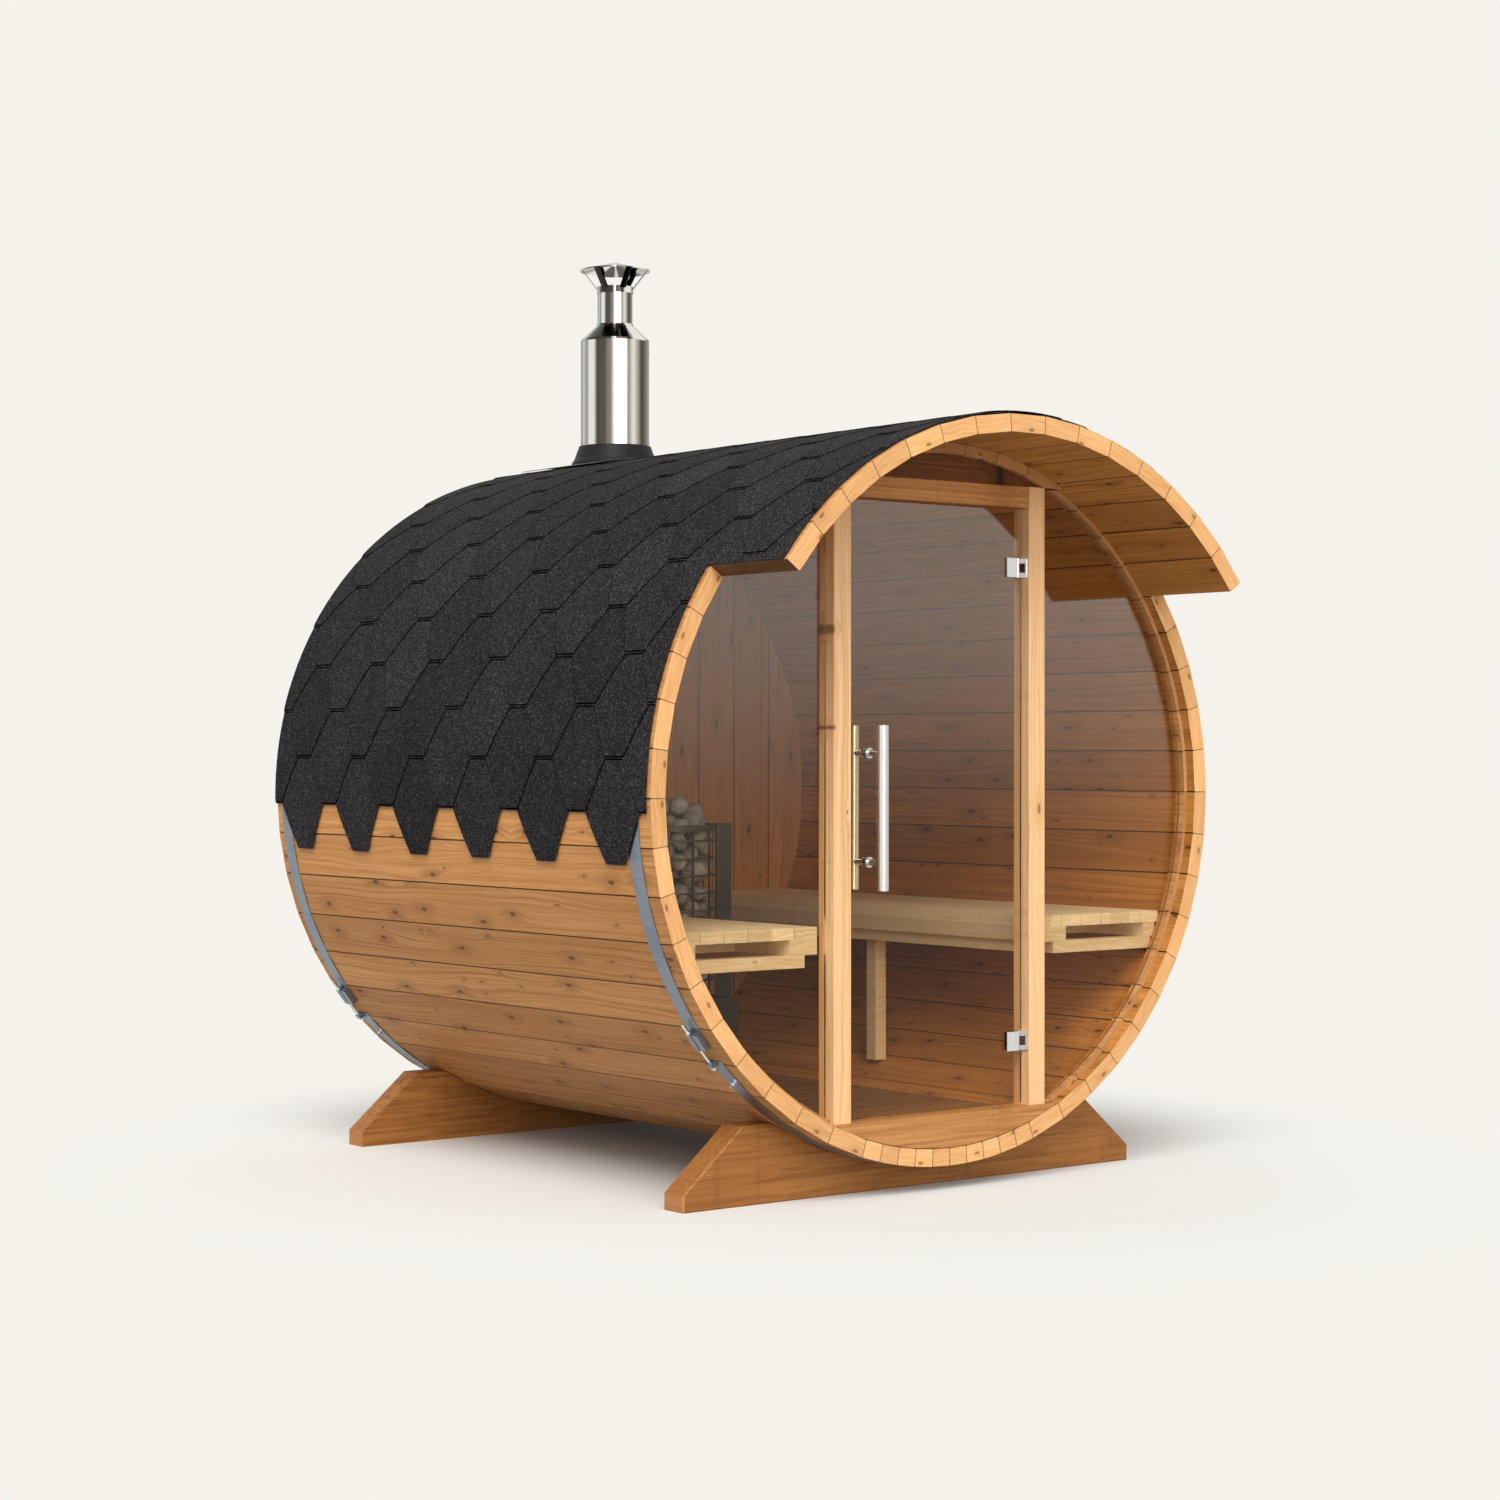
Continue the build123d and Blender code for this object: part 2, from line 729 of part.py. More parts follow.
with BuildPart() as heater_basket:
    # upright ribs
    with Locations((0, heater_y, basket_bottom + seat_gap)):
        with PolarLocations(basket_radius - basket_bar / 2, basket_rib_count):
            Box(basket_bar, basket_bar, basket_top - basket_bottom - 1, align=(Align.CENTER, Align.CENTER, Align.MIN))
    # rings round the ribs
    for index in range(ring_count + 1):
        with BuildSketch(Plane.XY.offset(basket_bottom + 2 + index * basket_ring_pitch)):
            with Locations((0, heater_y)):
                Circle(basket_radius + basket_bar - 1)
                Circle(basket_radius - 1, mode=Mode.SUBTRACT)
        extrude(amount=basket_bar)
    with BuildSketch(Plane.XY.offset(basket_top - rim_height)):
        with Locations((0, heater_y)):
            Circle(basket_radius + basket_bar)
            Circle(basket_radius - 2, mode=Mode.SUBTRACT)
    extrude(amount=rim_height)
save(heater_basket, "heater_basket")

with BuildPart() as heater_stones:
    stones_radius = basket_radius - basket_bar - stone_gap
    with BuildSketch(Plane.XZ.offset(-heater_y)):
        with BuildLine():
            Polyline(
                (0, basket_bottom + seat_gap),
                (stones_radius - 8, basket_bottom + seat_gap),
                (stones_radius, basket_bottom + 10),
                (stones_radius, basket_top),
                (stones_radius * 0.86, basket_top + 40),
                (stones_radius * 0.5, stone_heap_top - 14),
                (0, stone_heap_top),
                close=True,
            )
        make_face()
    revolve(axis=Axis((0, heater_y, 0), (0, 0, 1)))
save(heater_stones, "heater_stones")

with BuildPart() as heater_guard:
    for side in (-1, 1):
        with Locations((side * (guard_inner_x + guard_post_width / 2), heater_y, floor_top + seat_gap)):
            Box(guard_post_width, guard_post_thickness, basket_top - floor_top,
                align=(Align.CENTER, Align.CENTER, Align.MIN))
    # rail behind the basket that joins the two posts
    with BuildSketch(Plane.XY.offset(basket_top - rim_height)):
        with BuildLine():
            Polyline(
                (-guard_inner_x - 3, heater_y - guard_post_thickness / 2),
                (-guard_inner_x - 3, heater_y + basket_radius + 20),
                (guard_inner_x + 3, heater_y + basket_radius + 20),
                (guard_inner_x + 3, heater_y - guard_post_thickness / 2),
            )
            offset(amount=guard_post_thickness / 2, side=Side.BOTH)
        make_face()
    extrude(amount=rim_height)
save(heater_guard, "heater_guard")

# FLUE AND CHIMNEY

cover_top = axis_height + cover_outer
apron_inner = cover_outer + seat_gap
apron_outer = apron_inner + apron_thickness
jacket_bottom = axis_height + inner_radius - 25


def at_chimney(z):
    """Level plane at height z with its centre on the chimney's axis."""
    return Plane.XY.offset(z).shift_origin((0, chimney_y, z))


def chimney_section():
    """Upright plane through the chimney's axis for turned pieces."""
    return Plane(origin=(0, chimney_y, 0), x_dir=(1, 0, 0), z_dir=(0, -1, 0))


chimney_axis = Axis((0, chimney_y, 0), (0, 0, 1))

flue_bottom = basket_bottom + seat_gap
flue_pitch = (pipe_top - flue_bottom) / flue_length_count

# the flue is a stack of equal lengths
with BuildPart() as flue_pipe:
    for index in range(flue_length_count):
        with BuildSketch(at_chimney(flue_bottom + index * flue_pitch)):
            Circle(flue_radius)
            Circle(flue_radius - flue_wall, mode=Mode.SUBTRACT)
        extrude(amount=flue_pitch - seat_gap)
save(flue_pipe, "flue_pipe")

with BuildPart() as chimney_jacket:
    with BuildSketch(at_chimney(jacket_bottom)):
        Circle(jacket_radius)
        Circle(flue_radius + seat_gap, mode=Mode.SUBTRACT)
    extrude(amount=jacket_top - jacket_bottom)
    # rolled seams near the top and above the boot
    for level in (jacket_top - jacket_seam_drop, boot_top + 8):
        with BuildSketch(at_chimney(level)):
            Circle(jacket_radius + jacket_seam)
            Circle(jacket_radius - 2, mode=Mode.SUBTRACT)
        extrude(amount=5)
save(chimney_jacket, "chimney_jacket")

with BuildPart() as chimney_cone:
    with BuildSketch(chimney_section()):
        with BuildLine():
            Polyline(
                (flue_radius + seat_gap, jacket_top + seat_gap),
                (jacket_radius, jacket_top + seat_gap),
                (jacket_radius, jacket_top + 6),
                (flue_radius + 3, cone_top - 4),
                (flue_radius + 3, cone_top),
                (flue_radius + seat_gap, cone_top),
                close=True,
            )
        make_face()
    revolve(axis=chimney_axis)
save(chimney_cone, "chimney_cone")

with BuildPart() as chimney_boot:
    with BuildSketch(chimney_section()):
        with BuildLine():
            Polyline(
                (jacket_radius + seat_gap, axis_height + radius * 0.95),
                (boot_bottom_radius + 8, axis_height + radius * 0.95),
                (boot_bottom_radius + 4, cover_top + 2),
                (boot_bottom_radius - 4, cover_top + 14),
                (boot_top_radius, boot_top - 6),
                (boot_top_radius - 2, boot_top),
                (jacket_radius + seat_gap, boot_top),
                close=True,
            )
        make_face()
    revolve(axis=chimney_axis)
    # the foot follows the round roof
    with BuildSketch(axis_plane(barrel_length)):
        Circle(apron_outer + seat_gap)
    extrude(amount=barrel_length, mode=Mode.SUBTRACT)
save(chimney_boot, "chimney_boot")

with BuildPart() as chimney_apron:
    with BuildSketch(axis_plane(chimney_y + apron_half_width)):
        Circle(apron_outer)
        Circle(apron_inner, mode=Mode.SUBTRACT)
        Rectangle(2 * apron_half_width, radius * 3, mode=Mode.INTERSECT)
        with Locations((0, 0)):
            Rectangle(radius * 3, radius * 2, align=(Align.CENTER, Align.MAX), mode=Mode.SUBTRACT)
    extrude(amount=2 * apron_half_width)
    with BuildSketch(at_chimney(axis_height)):
        Circle(roof_hole_radius)
    extrude(amount=radius + 100, mode=Mode.SUBTRACT)
save(chimney_apron, "chimney_apron")

strut_foot = (flue_radius + 1, pipe_top - 6)
strut_head = (cap_radius - 9, cap_rim + 2)
strut_run = strut_head[0] - strut_foot[0]
strut_rise = strut_head[1] - strut_foot[1]
strut_length = sqrt(strut_run**2 + strut_rise**2)
strut_tilt = degrees(asin(strut_run / strut_length))

with BuildPart() as chimney_cap:
    with BuildSketch(chimney_section()):
        with BuildLine():
            Polyline(
                (0, cap_apex),
                (cap_radius - 3, cap_rim + 3),
                (cap_radius, cap_rim + 3),
                (cap_radius, cap_rim),
                (cap_radius - 4, cap_rim),
                (0, cap_apex - 3),
                close=True,
            )
        make_face()
    revolve(axis=chimney_axis)
    # collar round the pipe
    with BuildSketch(at_chimney(pipe_top - 20)):
        Circle(flue_radius + seat_gap + 1.5)
        Circle(flue_radius + seat_gap, mode=Mode.SUBTRACT)
    extrude(amount=20)
    with Locations(at_chimney((strut_foot[1] + strut_head[1]) / 2)):
        with PolarLocations((strut_foot[0] + strut_head[0]) / 2, strut_count, strut_start_angle):
            with Locations(Location((0, 0, 0), (0, strut_tilt, 0))):
                Box(strut_thickness, strut_width, strut_length)
save(chimney_cap, "chimney_cap")

# DOOR
# A frameless glass leaf that opens outwards on two clamp hinges at the right.

leaf_left = door_left + door_gap
leaf_right = door_right - door_gap - 2
leaf_bottom = sill_top + door_gap
leaf_top = lintel_bottom - door_gap
leaf_back_y = door_glass_y + glass_thickness
notch_half_height = hinge_height / 2 + 4
notch_left = hinge_plate_right - 6

with BuildPart() as door_glass:
    with BuildSketch(ground_plane(leaf_back_y)):
        with Locations((leaf_left, leaf_bottom)):
            Rectangle(leaf_right - leaf_left, leaf_top - leaf_bottom, align=(Align.MIN, Align.MIN))
        # cut-outs for the hinges
        for level in hinge_levels:
            with Locations((notch_left, level)):
                Rectangle(2 * radius, 2 * notch_half_height, align=(Align.MIN, Align.CENTER), mode=Mode.SUBTRACT)
    extrude(amount=glass_thickness)
save(door_glass, "door_glass")

plate_length = hinge_plate_right - hinge_plate_left

with BuildPart() as door_hinge_clamps:
    for level in hinge_levels:
        with Locations((hinge_plate_left, door_glass_y - seat_gap, level)):
            Box(plate_length, hinge_plate_thickness, hinge_height, align=(Align.MIN, Align.MAX, Align.CENTER))
        with Locations((hinge_plate_left, leaf_back_y + seat_gap, level)):
            Box(plate_length, hinge_plate_thickness, hinge_height, align=(Align.MIN, Align.MIN, Align.CENTER))
        # core in the cut-out of the glass, with the knuckle at its end
        with Locations((notch_left + 1, hinge_y, level)):
            Box(hinge_plate_right - notch_left - 1, glass_thickness + 2 * seat_gap, 2 * hinge_knuckle_half,
                align=(Align.MIN, Align.CENTER, Align.CENTER))
        with Locations((hinge_plate_right, hinge_y, level)):
            Box(hinge_x - hinge_plate_right, hinge_knuckle_radius, 2 * hinge_knuckle_half,
                align=(Align.MIN, Align.CENTER, Align.CENTER))
        with Locations((hinge_x, hinge_y, level)):
            Cylinder(hinge_knuckle_radius, 2 * hinge_knuckle_half)
save(door_hinge_clamps, "door_hinge_clamps")

lug_from = hinge_knuckle_half + hinge_pin_gap
lug_rise = hinge_height / 2 - lug_from
frame_plate_x = door_right - seat_gap - frame_plate_thickness

with BuildPart() as frame_hinge_plates:
    for level in hinge_levels:
        with Locations((frame_plate_x, hinge_y, level)):
            Box(frame_plate_thickness, 2 * frame_plate_half_depth, hinge_height,
                align=(Align.MIN, Align.CENTER, Align.CENTER))
        for flip in (1, -1):
            middle = level + flip * (lug_from + lug_rise / 2)
            with Locations((hinge_x, hinge_y, middle)):
                Cylinder(hinge_knuckle_radius, lug_rise)
                Box(frame_plate_x + 1 - hinge_x, 8, lug_rise, align=(Align.MIN, Align.CENTER, Align.CENTER))
save(frame_hinge_plates, "frame_hinge_plates")

handle_levels = (handle_z - handle_clamp_spacing / 2, handle_z + handle_clamp_spacing / 2)

with BuildPart() as door_handle_outer:
    bar_y = door_glass_y - handle_outer_reach
    stem_end = door_glass_y - seat_gap
    with Locations((handle_x, bar_y, handle_z)):
        Cylinder(handle_radius, handle_length)
    chamfer(door_handle_outer.edges().filter_by(GeomType.CIRCLE), 1.5)
    for level in handle_levels:
        with BuildSketch(ground_plane(stem_end)):
            with Locations((handle_x, level)):
                Circle(handle_stem_radius)
        extrude(amount=stem_end - bar_y)
        with BuildSketch(ground_plane(stem_end)):
            with Locations((handle_x, level)):
                Circle(handle_collar_radius)
        extrude(amount=handle_collar_length)
save(door_handle_outer, "door_handle_outer")

with BuildPart() as door_handle_inner:
    bar_y = leaf_back_y + handle_inner_reach
    stem_end = leaf_back_y + seat_gap
    with Locations((handle_x, bar_y, handle_z)):
        Cylinder(handle_radius, handle_length)
    chamfer(door_handle_inner.edges().filter_by(GeomType.CIRCLE), 1.5)
    for level in handle_levels:
        with BuildSketch(ground_plane(stem_end)):
            with Locations((handle_x, level)):
                Circle(handle_stem_radius)
        extrude(amount=stem_end - bar_y)
        with BuildSketch(ground_plane(stem_end)):
            with Locations((handle_x, level)):
                Circle(handle_collar_radius)
        extrude(amount=-handle_collar_length)
save(door_handle_inner, "door_handle_inner")
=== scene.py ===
import bmesh
import bpy
import random
from math import ceil, cos, pi, radians, sin, sqrt
from mathutils import Matrix, Vector


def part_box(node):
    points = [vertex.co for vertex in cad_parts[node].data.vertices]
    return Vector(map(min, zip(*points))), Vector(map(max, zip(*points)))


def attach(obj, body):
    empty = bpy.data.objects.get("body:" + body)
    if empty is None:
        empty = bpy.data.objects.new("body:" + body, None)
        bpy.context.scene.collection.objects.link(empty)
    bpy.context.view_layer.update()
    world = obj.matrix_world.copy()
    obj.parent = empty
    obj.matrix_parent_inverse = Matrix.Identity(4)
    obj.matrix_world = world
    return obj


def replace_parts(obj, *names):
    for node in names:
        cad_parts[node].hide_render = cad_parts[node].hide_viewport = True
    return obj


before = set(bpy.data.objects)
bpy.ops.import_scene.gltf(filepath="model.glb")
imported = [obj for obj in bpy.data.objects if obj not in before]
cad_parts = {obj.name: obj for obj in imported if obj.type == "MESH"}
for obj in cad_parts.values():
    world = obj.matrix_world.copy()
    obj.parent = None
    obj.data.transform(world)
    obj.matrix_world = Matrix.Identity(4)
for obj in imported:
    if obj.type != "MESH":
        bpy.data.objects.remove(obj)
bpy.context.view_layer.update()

# driving sizes, as in the part (metres); Y is counted from the barrel's front rim
R = 0.980
THICK = 0.046
LENGTH = 1.858
AXIS = 1.046
CANOPY = 0.301
CHIMNEY_Y = 1.525
BACK_BOARDS = 13
BENCH_INNER = 0.400
BENCH_PITCH = 0.076
BENCH_GAP = 0.004
FLOOR_FRONT = 0.080
FLOOR_PITCH = 0.070
# angles round the barrel
STAVE = radians(7.2)
CANOPY_FROM = radians(36)
BOTTOM = radians(18)
# the round back wall just clears the flat inner faces of the staves
WALL_R = (R - THICK) * cos(STAVE / 2) - 0.0003
# the frame's origin lies this far behind the front rim
RIM = (LENGTH - CANOPY) / 2


# NODE HELPERS

class Shader:
    """Short names for building a material's node tree."""

    def __init__(self, name):
        self.mat = bpy.data.materials.new(name)
        self.mat.use_nodes = True
        self.tree = self.mat.node_tree
        self.bsdf = self.tree.nodes["Principled BSDF"]
        self.out = self.tree.nodes["Material Output"]

    def node(self, kind, **settings):
        n = self.tree.nodes.new(kind)
        for key, value in settings.items():
            setattr(n, key, value)
        return n

    def link(self, a, b):
        self.tree.links.new(a, b)

    def put(self, socket, value):
        if isinstance(value, bpy.types.NodeSocket):
            self.link(value, socket)
        else:
            socket.default_value = value

    def math(self, op, a, b=0.0, c=0.0, clamp=False):
        n = self.node("ShaderNodeMath", operation=op, use_clamp=clamp)
        for socket, value in zip(n.inputs, (a, b, c)):
            self.put(socket, value)
        return n.outputs[0]

    def times(self, a, b):
        return self.math("MULTIPLY", a, b)

    def plus(self, a, b):
        return self.math("ADD", a, b)

    def minus(self, a, b):
        return self.math("SUBTRACT", a, b)

    def coords(self):
        return self.node("ShaderNodeTexCoord").outputs["Object"]

    def object_xyz(self):
        split = self.node("ShaderNodeSeparateXYZ")
        self.link(self.coords(), split.inputs[0])
        return tuple(split.outputs)

    def normal_xyz(self):
        split = self.node("ShaderNodeSeparateXYZ")
        self.link(self.node("ShaderNodeTexCoord").outputs["Normal"], split.inputs[0])
        return tuple(split.outputs)

    def vector(self, x, y, z):
        n = self.node("ShaderNodeCombineXYZ")
        for socket, value in zip(n.inputs, (x, y, z)):
            self.put(socket, value)
        return n.outputs[0]

    def stretched(self, values, factors):
        """Vector of the values, each times its own factor."""
        return self.vector(*(self.times(value, factor) for value, factor in zip(values, factors)))

    def noise(self, vector, scale=1.0, detail=3.0, rough=0.5):
        n = self.node("ShaderNodeTexNoise")
        self.link(vector, n.inputs["Vector"])
        n.inputs["Scale"].default_value = scale
        n.inputs["Detail"].default_value = detail
        n.inputs["Roughness"].default_value = rough
        return n.outputs["Fac"]

    def white(self, value):
        n = self.node("ShaderNodeTexWhiteNoise", noise_dimensions="1D")
        self.put(n.inputs["W"], value)
        return n.outputs["Value"]

    def voronoi(self, vector, scale=1.0, flat=False):
        n = self.node("ShaderNodeTexVoronoi", voronoi_dimensions="2D" if flat else "3D")
        self.link(vector, n.inputs["Vector"])
        n.inputs["Scale"].default_value = scale
        return n

    def cell_value(self, voronoi):
        split = self.node("ShaderNodeSeparateColor")
        self.link(voronoi.outputs["Color"], split.inputs[0])
        return split.outputs[0]

    def mix_value(self, factor, a, b):
        n = self.node("ShaderNodeMix", data_type="FLOAT")
        self.put(n.inputs[0], factor)
        self.put(n.inputs[2], a)
        self.put(n.inputs[3], b)
        return n.outputs[0]

    def remap(self, value, low, high, to_low=0.0, to_high=1.0, smooth=False):
        n = self.node("ShaderNodeMapRange", interpolation_type="SMOOTHSTEP" if smooth else "LINEAR")
        self.put(n.inputs["Value"], value)
        for key, number in (("From Min", low), ("From Max", high), ("To Min", to_low), ("To Max", to_high)):
            n.inputs[key].default_value = number
        return n.outputs["Result"]

    def ramp(self, value, stops):
        n = self.node("ShaderNodeValToRGB")
        self.link(value, n.inputs["Fac"])
        elements = n.color_ramp.elements
        while len(elements) < len(stops):
            elements.new(0.5)
        for element, (position, colour) in zip(elements, stops):
            element.position = position
            element.color = (*colour, 1.0)
        return n.outputs["Color"]

    def mix(self, factor, a, b, blend="MIX"):
        n = self.node("ShaderNodeMix", data_type="RGBA", blend_type=blend)
        self.put(n.inputs["Factor"], factor)
        for key, value in ((6, a), (7, b)):
            if isinstance(value, tuple):
                value = (*value, 1.0)
            self.put(n.inputs[key], value)
        return n.outputs[2]

    def toned(self, colour, tone, green=1.0, blue=1.0):
        """Colour times a tone; powers over 1 turn darker tones browner."""
        factors = self.vector(tone, self.math("POWER", tone, green), self.math("POWER", tone, blue))
        return self.mix(1.0, colour, factors, "MULTIPLY")

    def bump(self, height, strength, distance):
        n = self.node("ShaderNodeBump")
        self.link(height, n.inputs["Height"])
        n.inputs["Strength"].default_value = strength
        n.inputs["Distance"].default_value = distance
        self.link(n.outputs["Normal"], self.bsdf.inputs["Normal"])


def srgb(r, g, b):
    """Colour from 0..255 display values to linear."""
    return tuple(((c / 255 + 0.055) / 1.055) ** 2.4 if c > 10 else c / 255 / 12.92 for c in (r, g, b))


def scaled(colour, factor):
    """Colour times one factor, or times a factor for each channel."""
    factors = factor if isinstance(factor, tuple) else (factor,) * 3
    return tuple(c * k for c, k in zip(colour, factors))


def blended(first, second, share):
    """Colour between two others; share is how much of the second there is."""
    return tuple(a * (1 - share) + b * share for a, b in zip(first, second))


# WOOD
# Every board gets its own tone, growth lines along its length and a few knots.

# knots per metre across and along, size in cells, share of cells, strength of the halo, shift
KNOTS = ((11.0, 4.3, 0.080, 0.40, 1.0, 0.0), (24.0, 9.0, 0.080, 0.12, 0.6, 5.3))


def wood(name, light, mid, dark, coords, knots=1.0, spread=0.10, end_light=None, joint=0.0032, inside=None):
    """coords(shader) gives: across, along, depth (metres), board number, end-face mask and half the width."""
    s = Shader(name)
    across, along, depth, board, end_mask, half = coords(s)
    seed = s.times(s.white(board), 37.0)
    seed2 = s.white(s.plus(board, 0.37))
    seed3 = s.white(s.plus(board, 0.71))

    # knots: sparse cells stretched along the board, of two sizes
    knot = halo = 0.0
    for pitch_across, pitch_along, size, share, glow_share, offset in KNOTS:
        cells = s.voronoi(s.vector(
            s.plus(s.times(across, pitch_across), s.times(seed, 1.37)),
            s.plus(s.times(along, pitch_along), s.plus(seed, offset)),
            0.0,
        ), flat=True)
        keep = s.math("GREATER_THAN", s.cell_value(cells), 1.0 - share * knots)
        distance = cells.outputs["Distance"]
        core = s.times(s.remap(distance, size, size * 0.45, smooth=True), keep)
        glow = s.times(s.remap(distance, size * 5.0, size * 0.6, smooth=True), keep)
        knot = s.math("MAXIMUM", knot, core)
        halo = s.math("MAXIMUM", halo, s.times(glow, glow_share))

    # growth lines, bent round the knots and wandering along the board
    slow = s.noise(s.vector(s.times(across, 7.0), s.plus(s.times(along, 1.3), seed), seed), detail=2.0)
    bent = s.plus(s.plus(across, s.times(halo, 0.014)), s.times(slow, 0.085))
    lines = s.noise(s.vector(s.times(bent, 130.0), s.times(along, 0.9), s.plus(s.times(depth, 120.0), seed)),
                    detail=2.0, rough=0.6)
    fine = s.noise(s.vector(s.times(bent, 620.0), s.times(along, 9.0), s.plus(s.times(depth, 600.0), seed)),
                   detail=2.0, rough=0.6)
    grain = s.plus(s.times(lines, 0.68), s.times(fine, 0.32))
    base = s.ramp(s.remap(grain, 0.33, 0.66), [(0.0, blended(dark, mid, 0.28)), (0.36, mid), (0.85, light)])

    # cloudy patches, board to board tone, and short flecks of resin
    blotch = s.noise(s.vector(s.times(across, 5.0), s.plus(s.times(along, 2.3), seed), s.times(depth, 5.0)),
                     rough=0.6)
    base = s.mix(s.remap(blotch, 0.35, 0.68, 0.0, 0.45), base, mid)
    base = s.toned(base, s.remap(seed2, 0.0, 1.0, 1.0 - spread, 1.0 + spread), 1.15, 1.3)
    fleck = s.noise(s.vector(s.times(across, 210.0), s.plus(s.times(along, 32.0), seed), seed), detail=1.0)
    base = s.mix(s.remap(fleck, 0.66, 0.80, 0.0, 0.30), base, scaled(dark, 0.75))
    base = s.mix(s.times(halo, 0.42), base, scaled(dark, 0.95))
    base = s.mix(s.times(knot, 0.85), base, scaled(dark, 0.34))

    # painted shade: boards of the barrel are darker and browner on their inner face, for the shade inside the
    # barrel
    if inside is not None:
        inner = s.remap(depth, 0.006 - THICK, -THICK, smooth=True)
        base = s.mix(inner, base, s.mix(1.0, base, inside, "MULTIPLY"))

    # end faces are paler, with growth lines along the arc and small knots
    if end_mask is not None and end_light is not None:
        wave = s.noise(s.vector(s.times(across, 14.0), s.times(depth, 14.0), seed), detail=2.0)
        marks = s.voronoi(s.vector(s.plus(s.times(across, 9.0), seed), s.times(depth, 20.0), 0.0), flat=True)
        distance = marks.outputs["Distance"]
        keep = s.math("GREATER_THAN", s.cell_value(marks), 0.62)
        ring = s.times(s.remap(distance, 0.50, 0.06, smooth=True), keep)
        spot = s.times(s.remap(distance, 0.12, 0.05, smooth=True), keep)
        layer = s.plus(depth, s.plus(s.times(wave, 0.035), s.times(ring, 0.006)))
        rings = s.noise(s.vector(s.times(layer, 330.0), s.times(across, 9.0), seed), detail=2.0)
        end = s.mix(s.remap(rings, 0.36, 0.62), scaled(end_light, (0.86, 0.74, 0.60)), end_light)
        end = s.mix(s.times(ring, 0.40), end, light)
        end = s.mix(s.times(spot, 0.70), end, scaled(dark, 0.6))
        end = s.toned(end, s.remap(seed3, 0.0, 1.0, 0.82, 1.08), 1.1, 1.3)
        base = s.mix(end_mask, base, end)

    # shaded joints between boards
    if half is not None:
        edge = s.minus(half, s.math("ABSOLUTE", across))
        on_face = s.remap(edge, joint, joint * 0.35, 0.0, 0.86, smooth=True)
        if end_mask is not None:
            on_end = s.remap(edge, 0.0020, 0.0005, 0.0, 0.75, smooth=True)
            on_face = s.mix_value(end_mask, on_face, on_end)
        base = s.mix(on_face, base, scaled(dark, 0.16))

    s.link(base, s.bsdf.inputs["Base Color"])
    s.link(s.remap(grain, 0.3, 0.7, 0.63, 0.51), s.bsdf.inputs["Roughness"])
    s.bsdf.inputs["Specular IOR Level"].default_value = 0.3
    s.bump(s.minus(grain, s.times(knot, 0.5)), 0.25, 0.0008)
    return s.mat


def barrel_coords(s):
    """Boards round the barrel: across is the arc, along is Y, depth is the radius.

    The boards at the bottom have half the width of the others."""
    x, y, z = s.object_xyz()
    up = s.minus(z, AXIS)
    angle = s.math("ARCTAN2", up, x)
    turned = s.plus(angle, 2 * pi)
    low = s.math("LESS_THAN", s.math("ABSOLUTE", s.plus(angle, pi / 2)), BOTTOM)
    step = s.minus(STAVE, s.times(low, STAVE / 2))
    number = s.math("DIVIDE", turned, step)
    board = s.plus(s.math("FLOOR", number), s.times(low, 500.0))
    width = s.times(step, R)
    across = s.times(s.minus(s.math("FRACT", number), 0.5), width)
    depth = s.minus(s.math("SQRT", s.plus(s.times(x, x), s.times(up, up))), R)
    end_mask = s.math("GREATER_THAN", s.math("ABSOLUTE", s.normal_xyz()[1]), 0.7)
    return across, y, depth, board, end_mask, s.times(width, 0.5)


def straight_coords(along_axis, pitch_axis=None, pitch=1.0, start=0.0, joints=False):
    """Straight boards along one axis, numbered along another with the given pitch."""
    def coords(s):
        xyz = s.object_xyz()
        others = [i for i in (0, 1, 2) if i != along_axis]
        if pitch_axis is None:
            across, depth = xyz[others[0]], xyz[others[1]]
            board = s.plus(3.0, 0.0)
        else:
            number = s.math("DIVIDE", s.minus(xyz[pitch_axis], start), pitch)
            board = s.math("FLOOR", number)
            across = s.times(s.minus(s.math("FRACT", number), 0.5), pitch)
            depth = xyz[[i for i in others if i != pitch_axis][0]]
        mask = s.math("GREATER_THAN", s.math("ABSOLUTE", s.normal_xyz()[along_axis]), 0.7)
        return across, xyz[along_axis], depth, board, mask, s.plus(pitch / 2, 0.0) if joints else None
    return coords


LIGHT = srgb(216, 158, 98)
MID = srgb(194, 134, 76)
DARK = srgb(146, 92, 46)
ENDS = srgb(246, 191, 131)

# inside darkens the staves' inner face: painted shade for the inside of the barrel
stave_wood = wood("stave_wood", LIGHT, MID, DARK, barrel_coords, end_light=ENDS, spread=0.13,
                  inside=(0.90, 0.84, 0.58))
bead_wood = wood("bead_wood", srgb(214, 160, 104), srgb(194, 138, 86), srgb(150, 98, 54), barrel_coords,
                 end_light=srgb(206, 152, 98), spread=0.16)
cradle_wood = wood("cradle_wood", srgb(184, 124, 64), srgb(158, 102, 48), srgb(112, 68, 28),
                   straight_coords(0), knots=0.6, end_light=srgb(196, 136, 84))
post_wood = wood("post_wood", srgb(255, 214, 162), srgb(246, 196, 140), srgb(214, 158, 102),
                 straight_coords(2), knots=0.3, end_light=ENDS)
cross_wood = wood("cross_wood", srgb(212, 152, 92), srgb(190, 130, 72), srgb(146, 90, 46),
                  straight_coords(0), knots=0.5, end_light=ENDS)
# painted shade: the gable board, deep under the canopy, is given a much darker copy of the wood
gable_wood_painted_shade = wood("gable_wood_painted_shade", srgb(132, 80, 38), srgb(108, 60, 25), srgb(72, 37, 12),
                  straight_coords(0), knots=0.9, end_light=ENDS)
